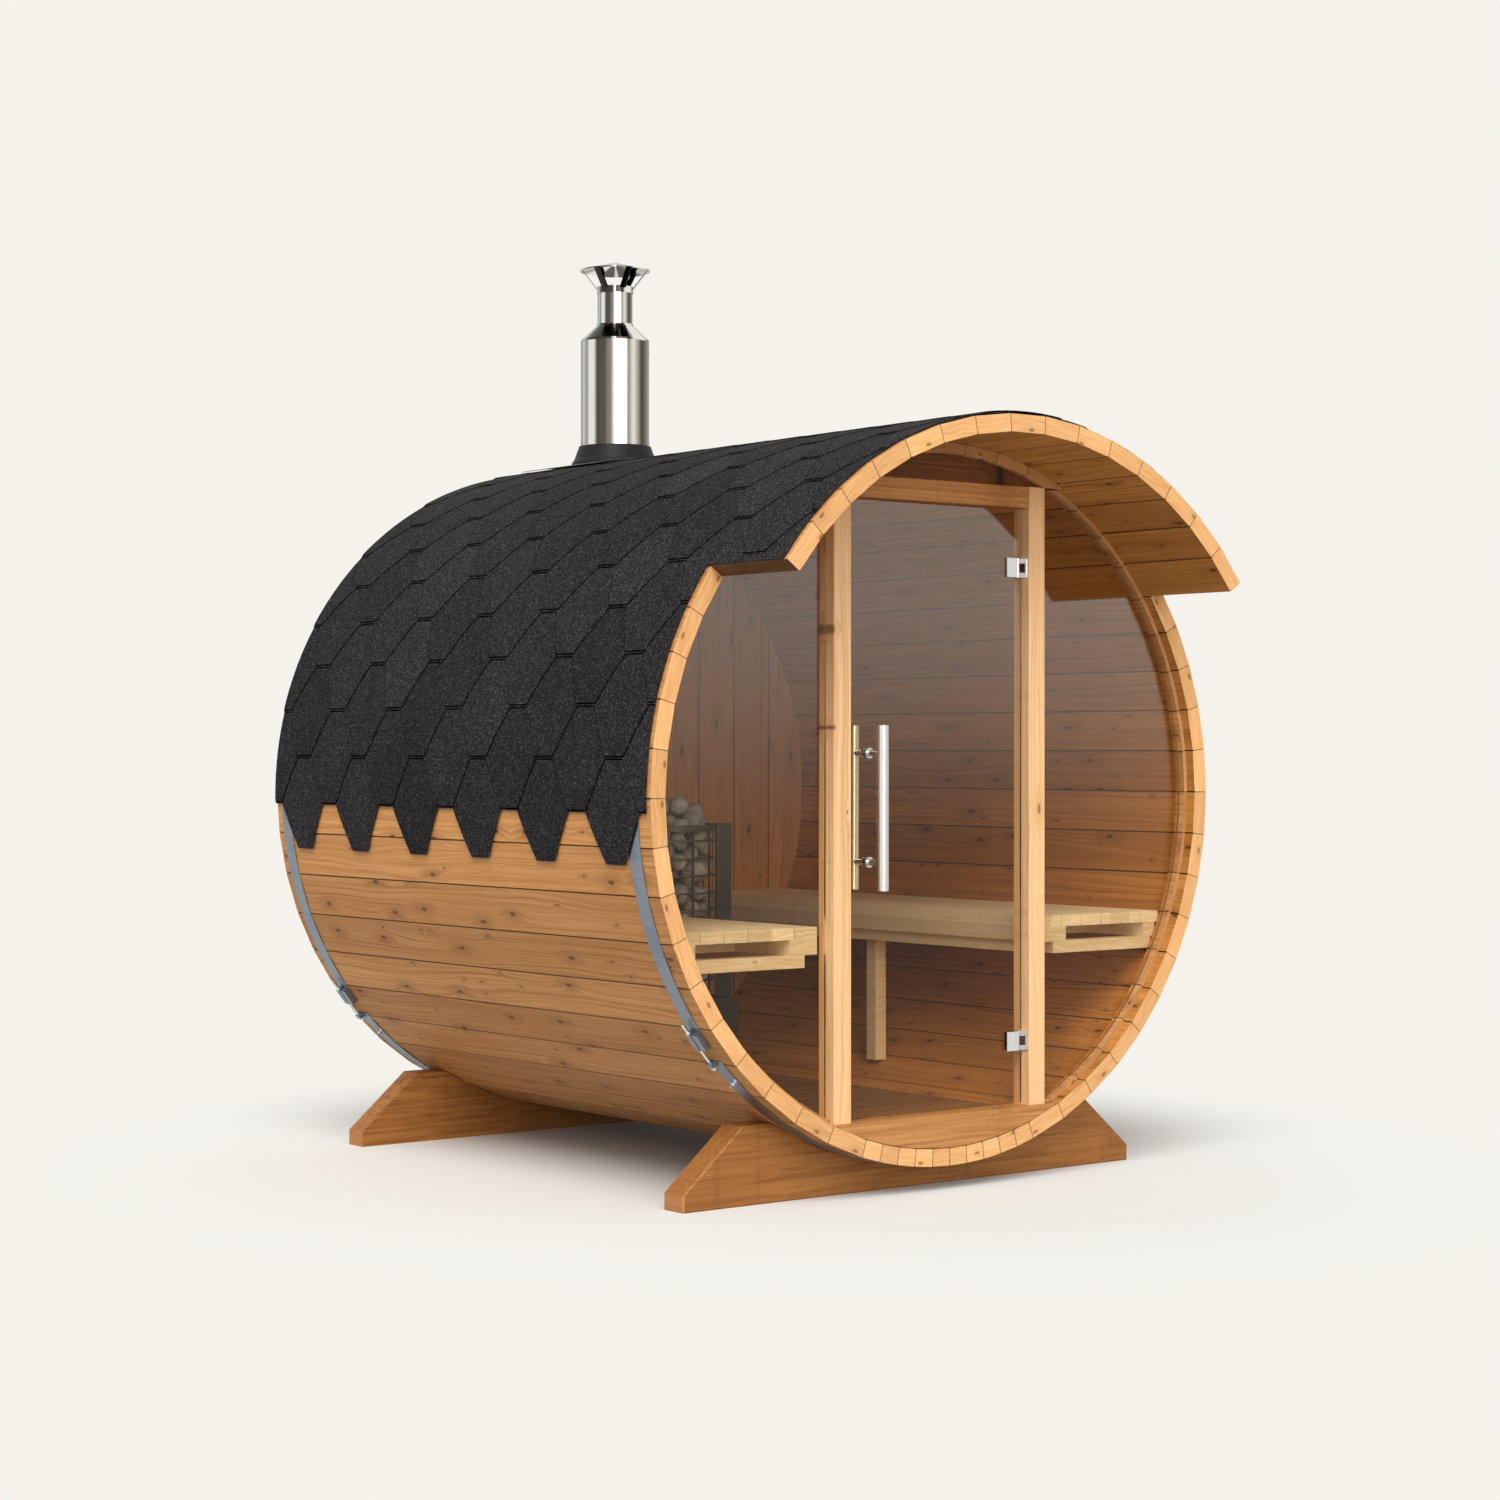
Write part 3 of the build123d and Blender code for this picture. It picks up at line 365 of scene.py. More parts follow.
back_wood = wood("back_wood", srgb(198, 142, 86), srgb(176, 121, 68), srgb(134, 86, 44),
                 straight_coords(2, 0, 2 * WALL_R / BACK_BOARDS, -WALL_R, joints=True),
                 end_light=ENDS, joint=0.004)
# painted shade: the floor inside the barrel is given a darker copy of the wood
floor_wood_painted_shade = wood("floor_wood_painted_shade", srgb(160, 116, 72), srgb(134, 94, 54), srgb(90, 58, 30),
                  straight_coords(0, 1, FLOOR_PITCH, FLOOR_FRONT - RIM), knots=0.3, end_light=ENDS)
# painted light: the benches are given a far paler copy of the wood, for the light that falls on them through
# the glass; their frames and the floor joists share the pale frame wood
bench_wood = wood("bench_wood", srgb(255, 243, 214), srgb(253, 234, 196), srgb(236, 206, 160),
                  straight_coords(1, 0, BENCH_PITCH, 20 * BENCH_PITCH - BENCH_INNER - BENCH_GAP / 2),
                  knots=0.10, end_light=srgb(253, 236, 200))
bench_frame_painted_light = wood("bench_frame_wood_painted_light", srgb(255, 240, 210), srgb(252, 230, 190), srgb(232, 200, 154),
                        straight_coords(1), knots=0.10, end_light=srgb(250, 230, 192))


def shingle_material():
    """Dark bitumen with pale mineral granules; each tab has its own tone."""
    s = Shader("shingle_granules")
    coords = s.coords()
    tone = s.node("ShaderNodeAttribute", attribute_name="tone").outputs["Fac"]
    speck = s.cell_value(s.voronoi(coords, 460.0))
    cloud = s.noise(coords, 7.0, 3.0, 0.6)
    fine = s.noise(coords, 240.0, 2.0, 0.6)
    value = s.plus(s.times(speck, 0.70), s.times(fine, 0.30))
    colour = s.ramp(value, [
        (0.20, srgb(22, 21, 22)), (0.50, srgb(35, 33, 34)),
        (0.74, srgb(50, 48, 49)), (0.93, srgb(118, 116, 117)),
    ])
    shade = s.times(s.remap(cloud, 0.3, 0.7, 0.90, 1.08), s.remap(tone, 0.0, 1.0, 0.82, 1.16))
    s.link(s.toned(colour, shade), s.bsdf.inputs["Base Color"])
    s.bsdf.inputs["Roughness"].default_value = 0.95
    s.bsdf.inputs["Specular IOR Level"].default_value = 0.08
    s.bump(value, 0.55, 0.0012)
    return s.mat


# how closely the brush marks of steel follow each other, across them and along them
BRUSH_FINE = 420.0
BRUSH_LONG = 6.0


def steel(name, colour, rough, streak_axis, streak=0.06, tint=None):
    """Brushed metal; the brush marks run along streak_axis."""
    s = Shader(name)
    stretch = [BRUSH_FINE] * 3
    stretch[streak_axis] = BRUSH_LONG
    marks = s.noise(s.stretched(s.object_xyz(), stretch), rough=0.6)
    smudge = s.noise(s.coords(), 11.0, 3.0, 0.6)
    high = tuple(min(1.0, c) for c in scaled(colour, 1 + streak))
    base = s.mix(s.remap(marks, 0.3, 0.7), scaled(colour, 1 - streak * 1.6), high)
    if tint is not None:
        base = s.mix(s.remap(smudge, 0.42, 0.75, 0.0, 0.5), base, tint)
    s.link(base, s.bsdf.inputs["Base Color"])
    s.bsdf.inputs["Metallic"].default_value = 1.0
    s.link(s.plus(s.remap(marks, 0.3, 0.7, rough - 0.04, rough + 0.05),
                  s.remap(smudge, 0.3, 0.8, 0.0, 0.06)), s.bsdf.inputs["Roughness"])
    s.bump(marks, 0.06, 0.0003)
    return s.mat


# where round the chimney the bands of painted reflection start, in half turns
REFLECTION_BAND_START = 3.211


def steel_painted_reflections(name, stops, rough):
    """Rolled sheet steel with painted reflections: soft lengthwise light and dark bands round the upright
    axis of the chimney.

    The bands repeat after half a turn."""
    s = Shader(name)
    x, y, z = s.object_xyz()
    angle = s.math("ARCTAN2", s.minus(y, CHIMNEY_Y - RIM), x)
    share = s.math("FRACT", s.plus(s.math("DIVIDE", angle, pi), REFLECTION_BAND_START))
    marks = s.noise(s.stretched((x, y, z), (BRUSH_FINE, BRUSH_FINE, BRUSH_LONG)), rough=0.6)
    # painted reflections: the colour is set by the angle round the chimney, in light and dark bands
    base = s.ramp(share, [(position, srgb(*tone)) for position, tone in stops])
    base = s.mix(s.remap(marks, 0.3, 0.7, 0.0, 0.10), base, srgb(150, 148, 145))
    s.link(base, s.bsdf.inputs["Base Color"])
    s.bsdf.inputs["Metallic"].default_value = 1.0
    s.link(s.remap(marks, 0.3, 0.7, rough - 0.03, rough + 0.05), s.bsdf.inputs["Roughness"])
    s.bump(marks, 0.05, 0.0003)
    return s.mat


def painted(name, colour, rough=0.5, grain=180.0, wear=None, strength=0.15, shine=0.5):
    """Paint, rubber or bitumen with a fine grain; wear is the colour of rubbed spots."""
    s = Shader(name)
    s.bsdf.inputs["Specular IOR Level"].default_value = shine
    coords = s.coords()
    fine = s.noise(coords, grain, 3.0, 0.6)
    cloud = s.noise(coords, 9.0, 3.0, 0.6)
    base = s.mix(s.remap(cloud, 0.3, 0.7), scaled(colour, 0.82), scaled(colour, 1.15))
    if wear is not None:
        base = s.mix(s.remap(fine, 0.62, 0.78, 0.0, 0.5), base, wear)
    s.link(base, s.bsdf.inputs["Base Color"])
    s.link(s.remap(fine, 0.3, 0.7, rough - 0.06, rough + 0.08), s.bsdf.inputs["Roughness"])
    s.bump(fine, strength, 0.0004)
    return s.mat


def stone_material():
    """Grey split stone; each stone has its own tone."""
    s = Shader("sauna_stone")
    coords = s.coords()
    tone = s.node("ShaderNodeAttribute", attribute_name="tone").outputs["Fac"]
    cloud = s.noise(coords, 30.0, 4.0, 0.6)
    grit = s.noise(coords, 260.0, 3.0, 0.7)
    value = s.plus(s.times(cloud, 0.6), s.times(grit, 0.4))
    base = s.ramp(value, [
        (0.3, srgb(118, 118, 118)), (0.5, srgb(166, 165, 163)), (0.72, srgb(216, 214, 210)),
    ])
    s.link(s.toned(base, s.remap(tone, 0.0, 1.0, 0.72, 1.2)), s.bsdf.inputs["Base Color"])
    s.bsdf.inputs["Roughness"].default_value = 0.85
    s.bump(value, 0.5, 0.002)
    return s.mat


def glass_material():
    """Bronze-toned pane to look through; its upper half mirrors more, and light passes inside."""
    s = Shader("bronze_glass")
    haze = s.noise(s.coords(), 3.0, rough=0.6)
    s.bsdf.inputs["Base Color"].default_value = (*srgb(247, 237, 216), 1.0)
    s.link(s.remap(haze, 0.3, 0.7, 0.0, 0.012), s.bsdf.inputs["Roughness"])
    s.bsdf.inputs["Transmission Weight"].default_value = 1.0
    height = s.object_xyz()[2]
    s.link(s.remap(height, 0.80, 1.60, 1.22, 1.76, smooth=True), s.bsdf.inputs["IOR"])
    clear = s.node("ShaderNodeBsdfTransparent")
    clear.inputs["Color"].default_value = (*srgb(240, 236, 232), 1.0)
    path = s.node("ShaderNodeLightPath")
    pick = s.node("ShaderNodeMixShader")
    through = s.math("MAXIMUM", path.outputs["Is Shadow Ray"], path.outputs["Is Diffuse Ray"])
    s.link(through, pick.inputs[0])
    s.link(s.bsdf.outputs[0], pick.inputs[1])
    s.link(clear.outputs[0], pick.inputs[2])
    s.link(pick.outputs[0], s.out.inputs["Surface"])
    return s.mat


shingle = shingle_material()
# painted shadow: near-black strips along the shingle edges stand in for the shade that the edges cast
shingle_painted_shadow = painted("shingle_painted_shadow", srgb(7, 7, 8), 0.95, shine=0.0)
stone = stone_material()
glass = glass_material()
band_steel = steel("band_steel", srgb(142, 150, 160), 0.36, 1, streak=0.10, tint=srgb(96, 116, 142))
# painted reflections: the stops below are light and dark bands that the chimney's steel is given in place of
# what it would mirror
PAINTED_GLARE = (242, 242, 240)
chimney_steel = steel_painted_reflections("chimney_steel", [
    (0.0, (120, 118, 116)), (0.10, (104, 106, 110)), (0.15, (205, 212, 220)), (0.21, (140, 146, 154)),
    (0.25, PAINTED_GLARE), (0.30, PAINTED_GLARE), (0.34, (60, 54, 48)), (0.42, (66, 60, 54)), (0.47, (130, 124, 118)),
    (0.51, (225, 221, 216)), (0.55, PAINTED_GLARE), (0.60, PAINTED_GLARE), (0.64, (140, 132, 124)), (0.69, PAINTED_GLARE),
    (0.75, (165, 155, 146)), (0.79, (64, 58, 52)), (0.90, (130, 122, 116)),
], 0.2)
chimney_gloss_painted_reflections = steel_painted_reflections("chimney_gloss_painted_reflections", [
    (0.0, (90, 88, 86)), (0.16, (190, 190, 190)), (0.24, (70, 68, 66)), (0.34, (40, 34, 28)),
    (0.47, (46, 38, 30)), (0.50, PAINTED_GLARE), (0.53, (46, 38, 30)), (0.66, (60, 54, 48)), (0.70, PAINTED_GLARE),
    (0.82, PAINTED_GLARE), (0.90, (110, 106, 102)),
], 0.1)
chrome = steel("hinge_chrome", srgb(225, 225, 226), 0.08, 2)
handle_steel = steel("handle_steel", srgb(214, 212, 210), 0.22, 2)
heater_black = painted("heater_black", srgb(42, 42, 43), 0.5, wear=srgb(80, 80, 80))
heater_wire = painted("heater_wire", srgb(70, 62, 54), 0.45, wear=srgb(120, 105, 90))
guard_grey = steel("guard_grey", srgb(92, 94, 96), 0.38, 2)
rubber = painted("boot_rubber", srgb(21, 20, 20), 0.5, 320.0, strength=0.08, shine=0.2)
apron_grey = painted("apron_metal", srgb(78, 80, 82), 0.5, 260.0)

FINISH = {
    "staves_roof_left": stave_wood, "staves_roof_crown": stave_wood, "staves_roof_right": stave_wood,
    "staves_left": stave_wood, "staves_right": stave_wood, "staves_bottom": stave_wood,
    "cradle_front": cradle_wood, "cradle_rear": cradle_wood,
    "post_left": post_wood, "post_right": post_wood,
    "lintel": cross_wood, "sill": cross_wood, "gable_board": gable_wood_painted_shade, "front_beads": bead_wood,
    "back_wall": back_wood, "floor_slats": floor_wood_painted_shade, "floor_joists": bench_frame_painted_light,
    "bench_left_slats": bench_wood, "bench_right_slats": bench_wood,
    "bench_left_frame": bench_frame_painted_light, "bench_right_frame": bench_frame_painted_light,
    "band_front": band_steel, "band_rear": band_steel, "band_bolts": chrome,
    "glass_left": glass, "glass_right": glass, "door_glass": glass,
    "door_hinge_clamps": chrome, "frame_hinge_plates": chrome,
    "door_handle_outer": handle_steel, "door_handle_inner": handle_steel,
    "heater_firebox": heater_black, "heater_basket": heater_wire, "heater_guard": guard_grey,
    "heater_stones": stone,
    "flue_pipe": chimney_steel, "chimney_jacket": chimney_steel, "chimney_cone": chimney_gloss_painted_reflections,
    "chimney_cap": chimney_gloss_painted_reflections, "chimney_boot": rubber, "chimney_apron": apron_grey,
    "cover_left": shingle, "cover_crown": shingle, "cover_right": shingle,
}


for name, material in FINISH.items():
    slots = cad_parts[name].data.materials
    slots.clear()
    slots.append(material)

# SHINGLES
# Rows of six-sided tabs, each lapped over the row below it.

TAB = LENGTH / 6
ROW = radians(7.9)
EAVES = radians(-9.7)
NOTCH = radians(7.5)
TIP_FLAT = 0.26 * TAB
NOTCH_FLAT = 0.25 * TAB
# a row reaches this many rows up, under the ones above it
LAP_ROWS = 2.1
SLANT_PIECES = 6
SHINGLE_T = 0.0018
# the outer face of a tab's tip, and how far it sinks from row to row
ROW_OUT = R + 0.0068
LAP_DROP = 0.0019
FRONT_EDGE = 0.012
# painted shadow line: dark strip in front of and behind each tab, below it and under it
LINE = 0.0042
LINE_BACK = 0.0014
LINE_BELOW = 0.0038 / R
LINE_UNDER = 0.008
LINE_LIFT = 0.00025
RIDGE_STOP = radians(87)
# short pieces along the ridge
RIDGE_HALF = radians(7.5)
RIDGE_PITCH = 0.150
RIDGE_PIECE = 0.250
RIDGE_SHORTEST = 0.02
RIDGE_RISE = 0.0016
RIDGE_T = 0.0013
RIDGE_STEPS = 8
# no shingle lies in the opening for the chimney
ROOF_HOLE = 0.146
RIDGE_HOLE = 0.176


def new_mesh():
    bm = bmesh.new()
    return bm, bm.faces.layers.float.new("tone")


def new_object(name, bm, *materials):
    mesh = bpy.data.meshes.new(name)
    bm.to_mesh(mesh)
    bm.free()
    for material in materials:
        mesh.materials.append(material)
    obj = bpy.data.objects.new(name, mesh)
    bpy.context.collection.objects.link(obj)
    return obj


def roof_vertex(bm, side, y, angle, r):
    """Vertex at y behind the front rim, turned up from the horizontal on the right (1) or left (-1)."""
    a = angle if side > 0 else pi - angle
    return bm.verts.new((r * cos(a), y - RIM, AXIS + r * sin(a)))


def row_radius(tip, angle):
    """Outer face of the row whose tips are at the angle tip."""
    return ROW_OUT - LAP_DROP * min((angle - tip) / ROW, 2.2)


def in_roof_hole(corners):
    x, y, z = (sum(v.co[i] for v in corners) / len(corners) for i in range(3))
    return z > AXIS and sqrt(x * x + (y + RIM - CHIMNEY_Y) ** 2) < ROOF_HOLE


def tab_edges(row, front=0.0, back=0.0):
    """Corner points along Y of one row's lower edge: (y, 0 at a tip or 1 at a notch).

    front and back widen each tab on that side."""
    points = []
    shift = 0.5 if row % 2 == 0 else 0.0
    for k in range(-4, 9):
        middle = (k + shift) * TAB
        points += [
            (middle - TIP_FLAT / 2 - front, 0.0), (middle + TIP_FLAT / 2 + back, 0.0),
            (middle + TAB / 2 - NOTCH_FLAT / 2 + back, 1.0), (middle + TAB / 2 + NOTCH_FLAT / 2 - front, 1.0),
        ]
    return points


def clip_edges(points, low, high):
    """Part of the lower edge between two Y values, with the slants in short pieces that follow the roof."""
    result = []
    for (y0, h0), (y1, h1) in zip(points, points[1:]):
        a, b = max(y0, low), min(y1, high)
        if b - a < 1e-6:
            continue
        pieces = SLANT_PIECES if h0 != h1 else 1
        for k in range(1 if result else 0, pieces + 1):
            y = a + (b - a) * k / pieces
            result.append((y, h0 + (h1 - h0) * (y - y0) / (y1 - y0)))
    return result


def shingle_row(bm, tone_layer, side, row, low, high, top, rng):
    tip = EAVES + row * ROW
    edge = clip_edges(tab_edges(row), low, high)
    shift = 0.5 if row % 2 == 0 else 0.0
    steps = 10
    tones = {}
    outer, inner = [], []
    for y, h in edge:
        bottom = tip + h * NOTCH
        curve = [bottom + (top - bottom) * i / steps for i in range(steps + 1)]
        outer.append([roof_vertex(bm, side, y, angle, row_radius(tip, angle)) for angle in curve])
        inner.append([roof_vertex(bm, side, y, angle, row_radius(tip, angle) - SHINGLE_T) for angle in curve])
    for j in range(len(edge) - 1):
        key = round((edge[j][0] + edge[j + 1][0]) / 2 / TAB - shift)
        tone = tones.setdefault(key, rng.random())
        a, b = outer[j], outer[j + 1]
        c, d = inner[j], inner[j + 1]
        faces = [(a[0], c[0], d[0], b[0])]
        for i in range(steps):
            faces.append((a[i], b[i], b[i + 1], a[i + 1]))
            faces.append((c[i], c[i + 1], d[i + 1], d[i]))
        if j == 0:
            faces += [(a[i], a[i + 1], c[i + 1], c[i]) for i in range(steps)]
        if j == len(edge) - 2:
            faces += [(b[i], d[i], d[i + 1], b[i + 1]) for i in range(steps)]
        for corners in faces:
            if not in_roof_hole(corners):
                bm.faces.new(corners)[tone_layer] = tone
    # painted shadow line below the row's edge
    if row > 0:
        painted_shadow_line(bm, tone_layer, side, row, low, high)


def painted_shadow_line(bm, tone_layer, side, row, low, high):
    """Painted shadow line: a thin dark strip round the lower edge of a row, for the shade that its edge casts
    on the row below.
    """
    tip = EAVES + row * ROW
    columns = []
    for y, h in clip_edges(tab_edges(row, LINE, LINE_BACK), low, high):
        bottom = tip + h * NOTCH - LINE_BELOW
        columns.append([
            roof_vertex(bm, side, y, angle, ROW_OUT - LAP_DROP * (angle - tip + ROW) / ROW + LINE_LIFT)
            for angle in (bottom, bottom + LINE_UNDER)
        ])
    for a, b in zip(columns, columns[1:]):
        corners = (a[0], b[0], b[1], a[1])
        if not in_roof_hole(corners):
            shadow_line_face(bm, tone_layer, corners)


# face of a painted shadow line, in the near-black material
def shadow_line_face(bm, tone_layer, corners):
    face = bm.faces.new(corners)
    face[tone_layer] = 0.5
    face.material_index = 1


def canopy_strip(bm, tone_layer, side, row, top, rng):
    """The part of a row that reaches over the canopy's lower edge."""
    tip = EAVES + row * ROW
    tone = rng.random()
    steps = 6
    columns = []
    for y, h in clip_edges(tab_edges(row), FRONT_EDGE - CANOPY, FRONT_EDGE):
        bottom = max(tip + h * NOTCH, CANOPY_FROM)
        column = []
        for i in range(steps + 1):
            angle = bottom + (top - bottom) * i / steps
            r = row_radius(tip, angle)
            above = roof_vertex(bm, side, y, angle, r)
            below = roof_vertex(bm, side, y, angle, r - SHINGLE_T)
            column.append((above, below))
        columns.append(column)
    faces = []
    for a, b in zip(columns, columns[1:]):
        faces.append((a[0][0], a[0][1], b[0][1], b[0][0]))
        faces += [(a[i][0], b[i][0], b[i + 1][0], a[i + 1][0]) for i in range(steps)]
    a = columns[0]
    faces += [(a[i][0], a[i + 1][0], a[i + 1][1], a[i][1]) for i in range(steps)]
    for corners in faces:
        bm.faces.new(corners)[tone_layer] = tone


def shingles(name, side, seed):
    rng = random.Random(seed)
    bm, tone_layer = new_mesh()
    row = 0
    while EAVES + row * ROW + NOTCH < RIDGE_STOP:
        tip = EAVES + row * ROW
        top = min(tip + LAP_ROWS * ROW, RIDGE_STOP)
        if tip >= CANOPY_FROM - 0.2 * ROW:
            shingle_row(bm, tone_layer, side, row, FRONT_EDGE - CANOPY, LENGTH, top, rng)
        else:
            shingle_row(bm, tone_layer, side, row, FRONT_EDGE, LENGTH, top, rng)
            if top > CANOPY_FROM:
                canopy_strip(bm, tone_layer, side, row, top, rng)
        row += 1
    bmesh.ops.recalc_face_normals(bm, faces=bm.faces)
    obj = new_object(name, bm, shingle, shingle_painted_shadow)
    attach(obj, "house")
    return obj


def ridge_cap():
    """Short overlapping pieces along the ridge, with painted shadow lines in front and at both sides."""
    rng = random.Random(5)
    bm, tone_layer = new_mesh()
    angles = [pi / 2 - RIDGE_HALF + 2 * RIDGE_HALF * i / RIDGE_STEPS for i in range(RIDGE_STEPS + 1)]

    def line(y, across, r):
        return [roof_vertex(bm, 1, y, angle, r) for angle in across]

    # painted shadow line along one edge of a ridge piece
    def shadow_line_edge(y0, y1, across, r):
        front, back = line(y0, across, r), line(y1, across, r)
        for i in range(len(across) - 1):
            shadow_line_face(bm, tone_layer, (front[i], back[i], back[i + 1], front[i + 1]))

    for k in range(ceil((LENGTH + CANOPY) / RIDGE_PITCH)):
        y0 = FRONT_EDGE - CANOPY + k * RIDGE_PITCH
        y1 = min(y0 + RIDGE_PIECE, LENGTH)
        if y1 - y0 < RIDGE_SHORTEST:
            continue
        tone = rng.random()
        if abs((y0 + y1) / 2 - CHIMNEY_Y) < RIDGE_HOLE:
            continue
        if k > 0:
            shadow_line_edge(y0 - LINE, y0, angles, ROW_OUT + 0.0009)
        for corner in (angles[0] - LINE / R, angles[-1]):
            shadow_line_edge(y0, y1, (corner, corner + LINE / R), ROW_OUT + 0.0002)
        a, b = line(y0, angles, ROW_OUT + RIDGE_RISE), line(y1, angles, ROW_OUT)
        c, d = line(y0, angles, ROW_OUT + RIDGE_RISE - RIDGE_T), line(y1, angles, ROW_OUT - RIDGE_T)
        faces = [(a[i], c[i], d[i], b[i]) for i in (0, RIDGE_STEPS)]
        for i in range(RIDGE_STEPS):
            faces += [
                (a[i], b[i], b[i + 1], a[i + 1]), (c[i], c[i + 1], d[i + 1], d[i]),
                (a[i], a[i + 1], c[i + 1], c[i]), (b[i], d[i], d[i + 1], b[i + 1]),
            ]
        for corners in faces:
            bm.faces.new(corners)[tone_layer] = tone
    bmesh.ops.recalc_face_normals(bm, faces=bm.faces)
    obj = new_object("shingles_ridge", bm, shingle, shingle_painted_shadow)
    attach(obj, "house")
    return obj


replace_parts(shingles("shingles_right", 1, 11), "cover_right")
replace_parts(shingles("shingles_left", -1, 23), "cover_left")
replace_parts(ridge_cap(), "cover_crown")

# STONES
# A heap of loose stones in the space of the CAD heap: upright in the basket, rounded over its rim.

BASKET_HEIGHT = 0.515
STONE_COUNT = 210
STONE_TRIES = 9000
STONE_SIZES = (0.024, 0.038)


def stone_places(rng, low, high, middle, outer):
    """Middle points and sizes of stones that hardly overlap."""
    rim = low[2] + BASKET_HEIGHT
    placed = []
    for _ in range(STONE_TRIES):
        size = rng.uniform(*STONE_SIZES)
        z = rng.uniform(low[2] + size, high[2] - size * 0.8)
        if z < rim:
            reach = outer - size * 0.98
            r = reach if rng.random() < 0.8 else rng.uniform(0.3, 1.0) * reach
        else:
            rise = (z - rim) / (high[2] - rim)
            reach = max(0.0, outer * sqrt(max(0.0, 1 - rise * 0.95)) - size * 0.9)
            r = reach * (1.0 if rng.random() < 0.6 else rng.random())
        turn = rng.uniform(0, 2 * pi)
        place = Vector((middle.x + r * cos(turn), middle.y + r * sin(turn), z))
        if all((place - other).length > (size + other_size) * 0.80 for other, other_size in placed):
            placed.append((place, size))
        if len(placed) == STONE_COUNT:
            break
    return placed


def add_stone(bm, tone_layer, rng, place, size):
    tone = rng.random()
    made = bmesh.ops.create_icosphere(bm, subdivisions=2, radius=1.0)
    stretch = Vector((rng.uniform(0.85, 1.12), rng.uniform(0.85, 1.12), rng.uniform(0.72, 0.98)))
    angle = rng.uniform(0, pi)
    turn = Matrix.Rotation(angle, 3, Vector((rng.random(), rng.random(), rng.random())).normalized())
    phase = [rng.uniform(0, 6) for _ in range(6)]
    for v in made["verts"]:
        d = v.co.normalized()
        bumps = 0.07 * sin(4 * d.x + phase[0]) + 0.06 * sin(5 * d.y + phase[1])
        bumps += 0.05 * sin(6 * d.z + phase[2])
        v.co = place + turn @ (d * stretch * size * (1 + bumps))
    for face in {face for v in made["verts"] for face in v.link_faces}:
        face[tone_layer] = tone
        face.smooth = True


def stones():
    rng = random.Random(3)
    bm, tone_layer = new_mesh()
    low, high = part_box("heater_stones")
    middle = Vector(((low[0] + high[0]) / 2, (low[1] + high[1]) / 2))
    outer = (high[0] - low[0]) / 2
    for place, size in stone_places(rng, low, high, middle, outer):
        add_stone(bm, tone_layer, rng, place, size)
    # nothing stands out of the heap's own space
    for v in bm.verts:
        aside = Vector((v.co.x - middle.x, v.co.y - middle.y))
        if aside.length > outer:
            aside *= outer / aside.length
            v.co.x, v.co.y = middle.x + aside.x, middle.y + aside.y
        v.co.z = min(max(v.co.z, low[2]), high[2])
    obj = new_object("stone_heap", bm, stone)
    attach(obj, "house")
    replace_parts(obj, "heater_stones")


stones()

# STAGE, LIGHT AND CAMERA

PAPER = srgb(245, 242, 236)
# shares of the light that falls on the open floor; its colour is divided by their sum
KEY_SHARE = 0.56
FRONT_SHARE = 0.078
SIDE_SHARE = 0.015
WORLD_LIGHT = 0.47
FLOOR_LIGHT = KEY_SHARE + FRONT_SHARE + SIDE_SHARE + WORLD_LIGHT
# the floor throws back this much of its colour at the object
THROWN_BACK = 0.45
# it is a little cooler near the object, against the warm light that the wood throws on it
COOLER = (1.005, 1.035, 1.05)
FLOOR_SIZE = 60
FADE_FROM = 1.15
FADE_TO = 2.3
EYE = (-5.1887, -5.7691 - RIM, 1.16495)
YAW = 0.664369
LENS = 70.262
SENSOR = 36.0


def seen_rays(tree):
    """1 for the rays that show the background: camera, glossy and transmission rays."""
    path = tree.nodes.new("ShaderNodeLightPath")
    seen = path.outputs["Is Camera Ray"]
    for ray in ("Is Glossy Ray", "Is Transmission Ray"):
        larger = tree.nodes.new("ShaderNodeMath")
        larger.operation = "MAXIMUM"
        tree.links.new(seen, larger.inputs[0])
        tree.links.new(path.outputs[ray], larger.inputs[1])
        seen = larger.outputs[0]
    return seen


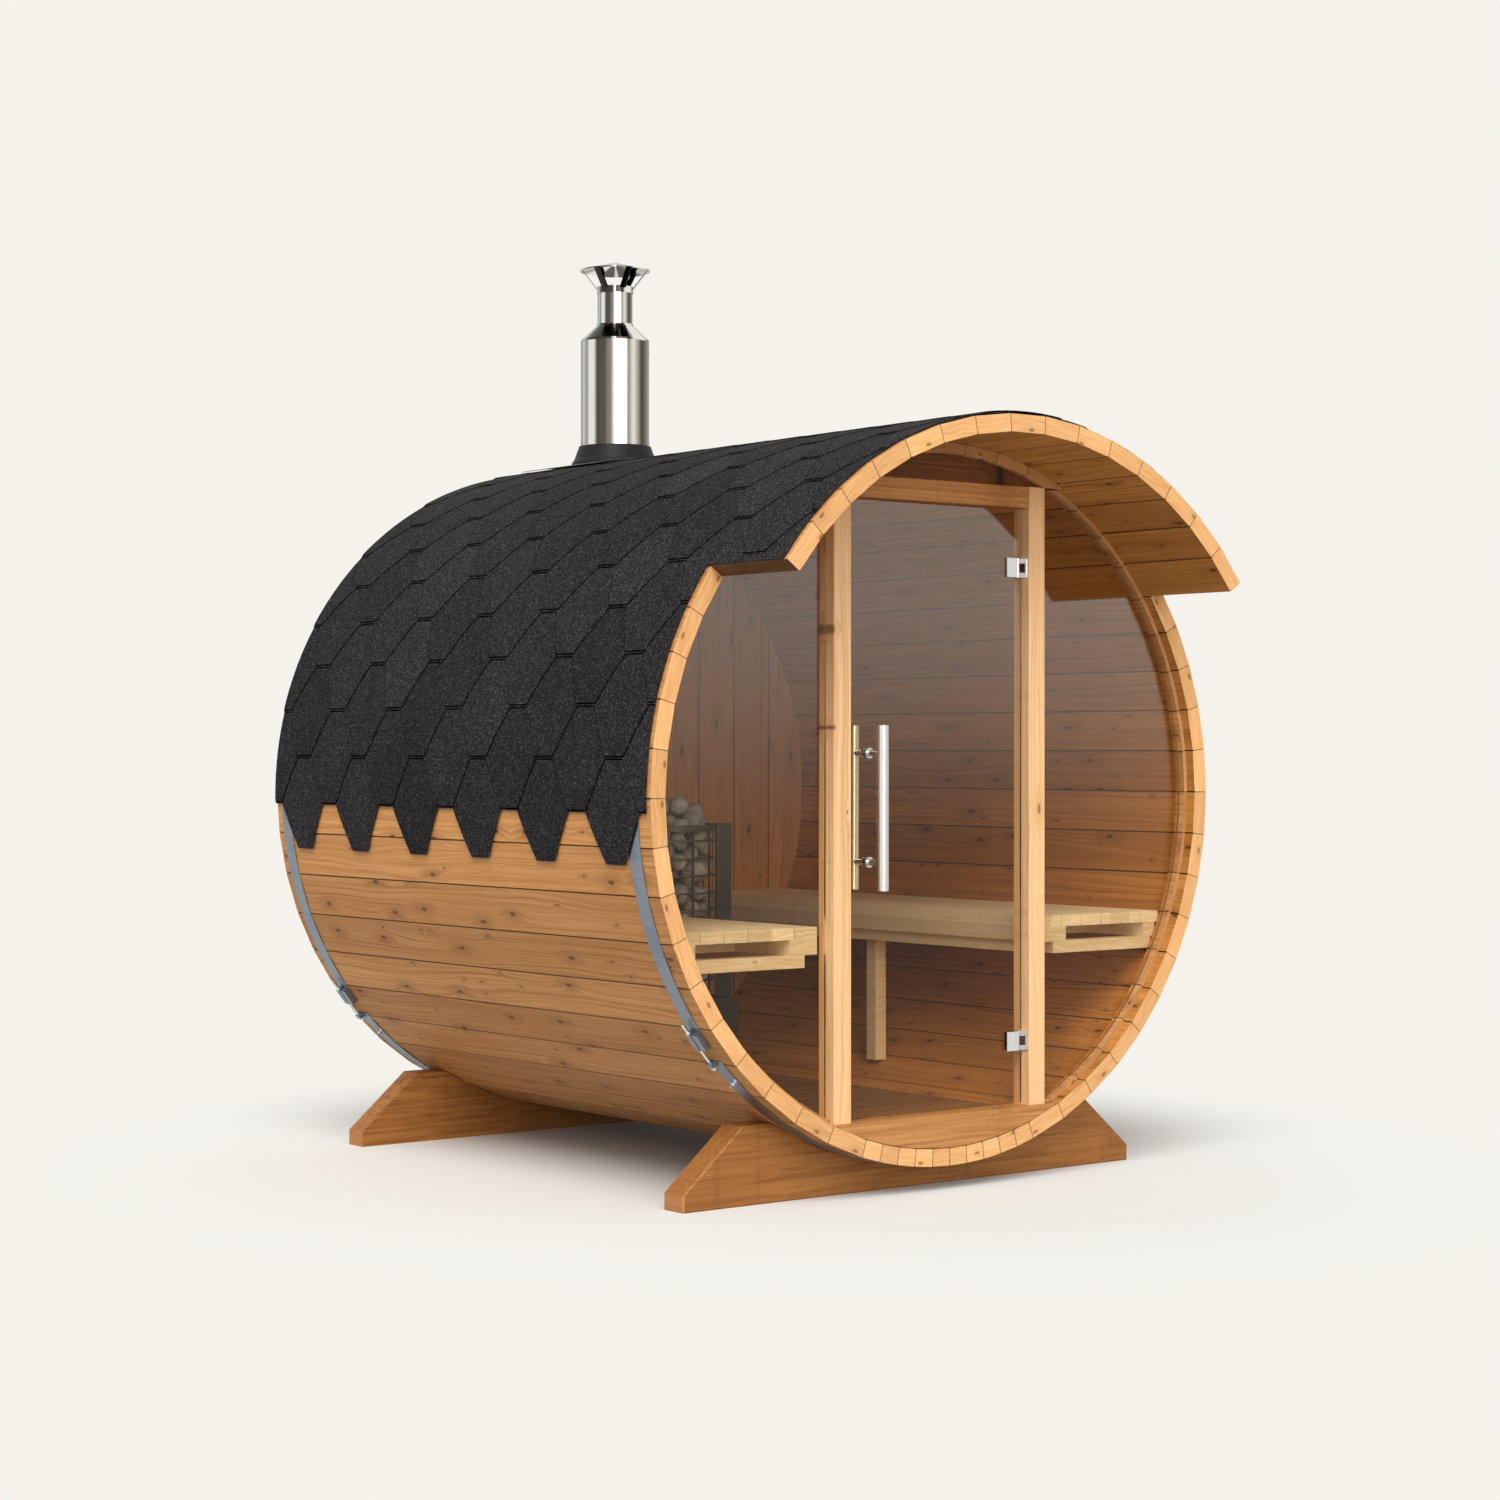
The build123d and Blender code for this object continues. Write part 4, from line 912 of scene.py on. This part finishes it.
def floor_material(name):
    """Paper for the eye and for reflections; it throws less light back up at the object."""
    s = Shader(name)
    seen = seen_rays(s.tree)
    lit = scaled(scaled(PAPER, COOLER), 1 / FLOOR_LIGHT)
    s.link(s.mix(seen, scaled(PAPER, THROWN_BACK), lit), s.bsdf.inputs["Base Color"])
    s.bsdf.inputs["Roughness"].default_value = 1.0
    s.bsdf.inputs["Specular IOR Level"].default_value = 0.0
    # away from the object the paper shows its own colour, so that no horizon is seen
    x, y, z = s.object_xyz()
    y = s.times(y, 0.9)
    reach = s.math("SQRT", s.plus(s.times(x, x), s.times(y, y)))
    far = s.times(s.remap(reach, FADE_FROM, FADE_TO, smooth=True), seen)
    plain = s.node("ShaderNodeEmission")
    plain.inputs["Color"].default_value = (*PAPER, 1.0)
    pick = s.node("ShaderNodeMixShader")
    s.link(far, pick.inputs[0])
    s.link(s.bsdf.outputs[0], pick.inputs[1])
    s.link(plain.outputs[0], pick.inputs[2])
    s.link(pick.outputs[0], s.out.inputs["Surface"])
    return s.mat


def floor():
    bm = bmesh.new()
    bmesh.ops.create_grid(bm, x_segments=2, y_segments=2, size=FLOOR_SIZE)
    new_object("floor_stage", bm, floor_material("paper_floor"))


def studio_world():
    """Even light from all sides; what the eye and reflections see of it is the paper's colour."""
    world = bpy.data.worlds.new("studio")
    bpy.context.scene.world = world
    world.use_nodes = True
    tree = world.node_tree
    light = tree.nodes["Background"]
    light.inputs["Color"].default_value = (1, 1, 1, 1)
    light.inputs["Strength"].default_value = WORLD_LIGHT
    backdrop = tree.nodes.new("ShaderNodeBackground")
    backdrop.inputs["Color"].default_value = (*PAPER, 1.0)
    backdrop.inputs["Strength"].default_value = 1.0
    pick = tree.nodes.new("ShaderNodeMixShader")
    tree.links.new(seen_rays(tree), pick.inputs[0])
    tree.links.new(light.outputs[0], pick.inputs[1])
    tree.links.new(backdrop.outputs[0], pick.inputs[2])
    tree.links.new(pick.outputs[0], tree.nodes["World Output"].inputs["Surface"])


def sun(name, towards, floor_share, softness):
    """Distant soft lamp; floor_share is how much of the floor's light comes from it."""
    data = bpy.data.lights.new(name, "SUN")
    direction = Vector(towards).normalized()
    data.energy = pi * floor_share / direction.z
    data.angle = radians(softness)
    obj = bpy.data.objects.new(name, data)
    bpy.context.collection.objects.link(obj)
    obj.rotation_euler = direction.to_track_quat("Z", "Y").to_euler()


def camera():
    data = bpy.data.cameras.new("camera")
    data.sensor_width = SENSOR
    data.lens = LENS
    data.clip_end = 200
    obj = bpy.data.objects.new("camera", data)
    bpy.context.collection.objects.link(obj)
    obj.location = EYE
    obj.rotation_euler = Vector((sin(YAW), cos(YAW), 0)).to_track_quat("-Z", "Y").to_euler()
    bpy.context.scene.camera = obj


floor()
studio_world()
sun("key", (-0.62, -0.66, 1.0), KEY_SHARE, 38)
sun("front", (-0.30, -1.0, 0.21), FRONT_SHARE, 40)
sun("side", (-1.0, -0.25, 0.20), SIDE_SHARE, 40)
camera()
bpy.context.scene.view_settings.view_transform = "Standard"
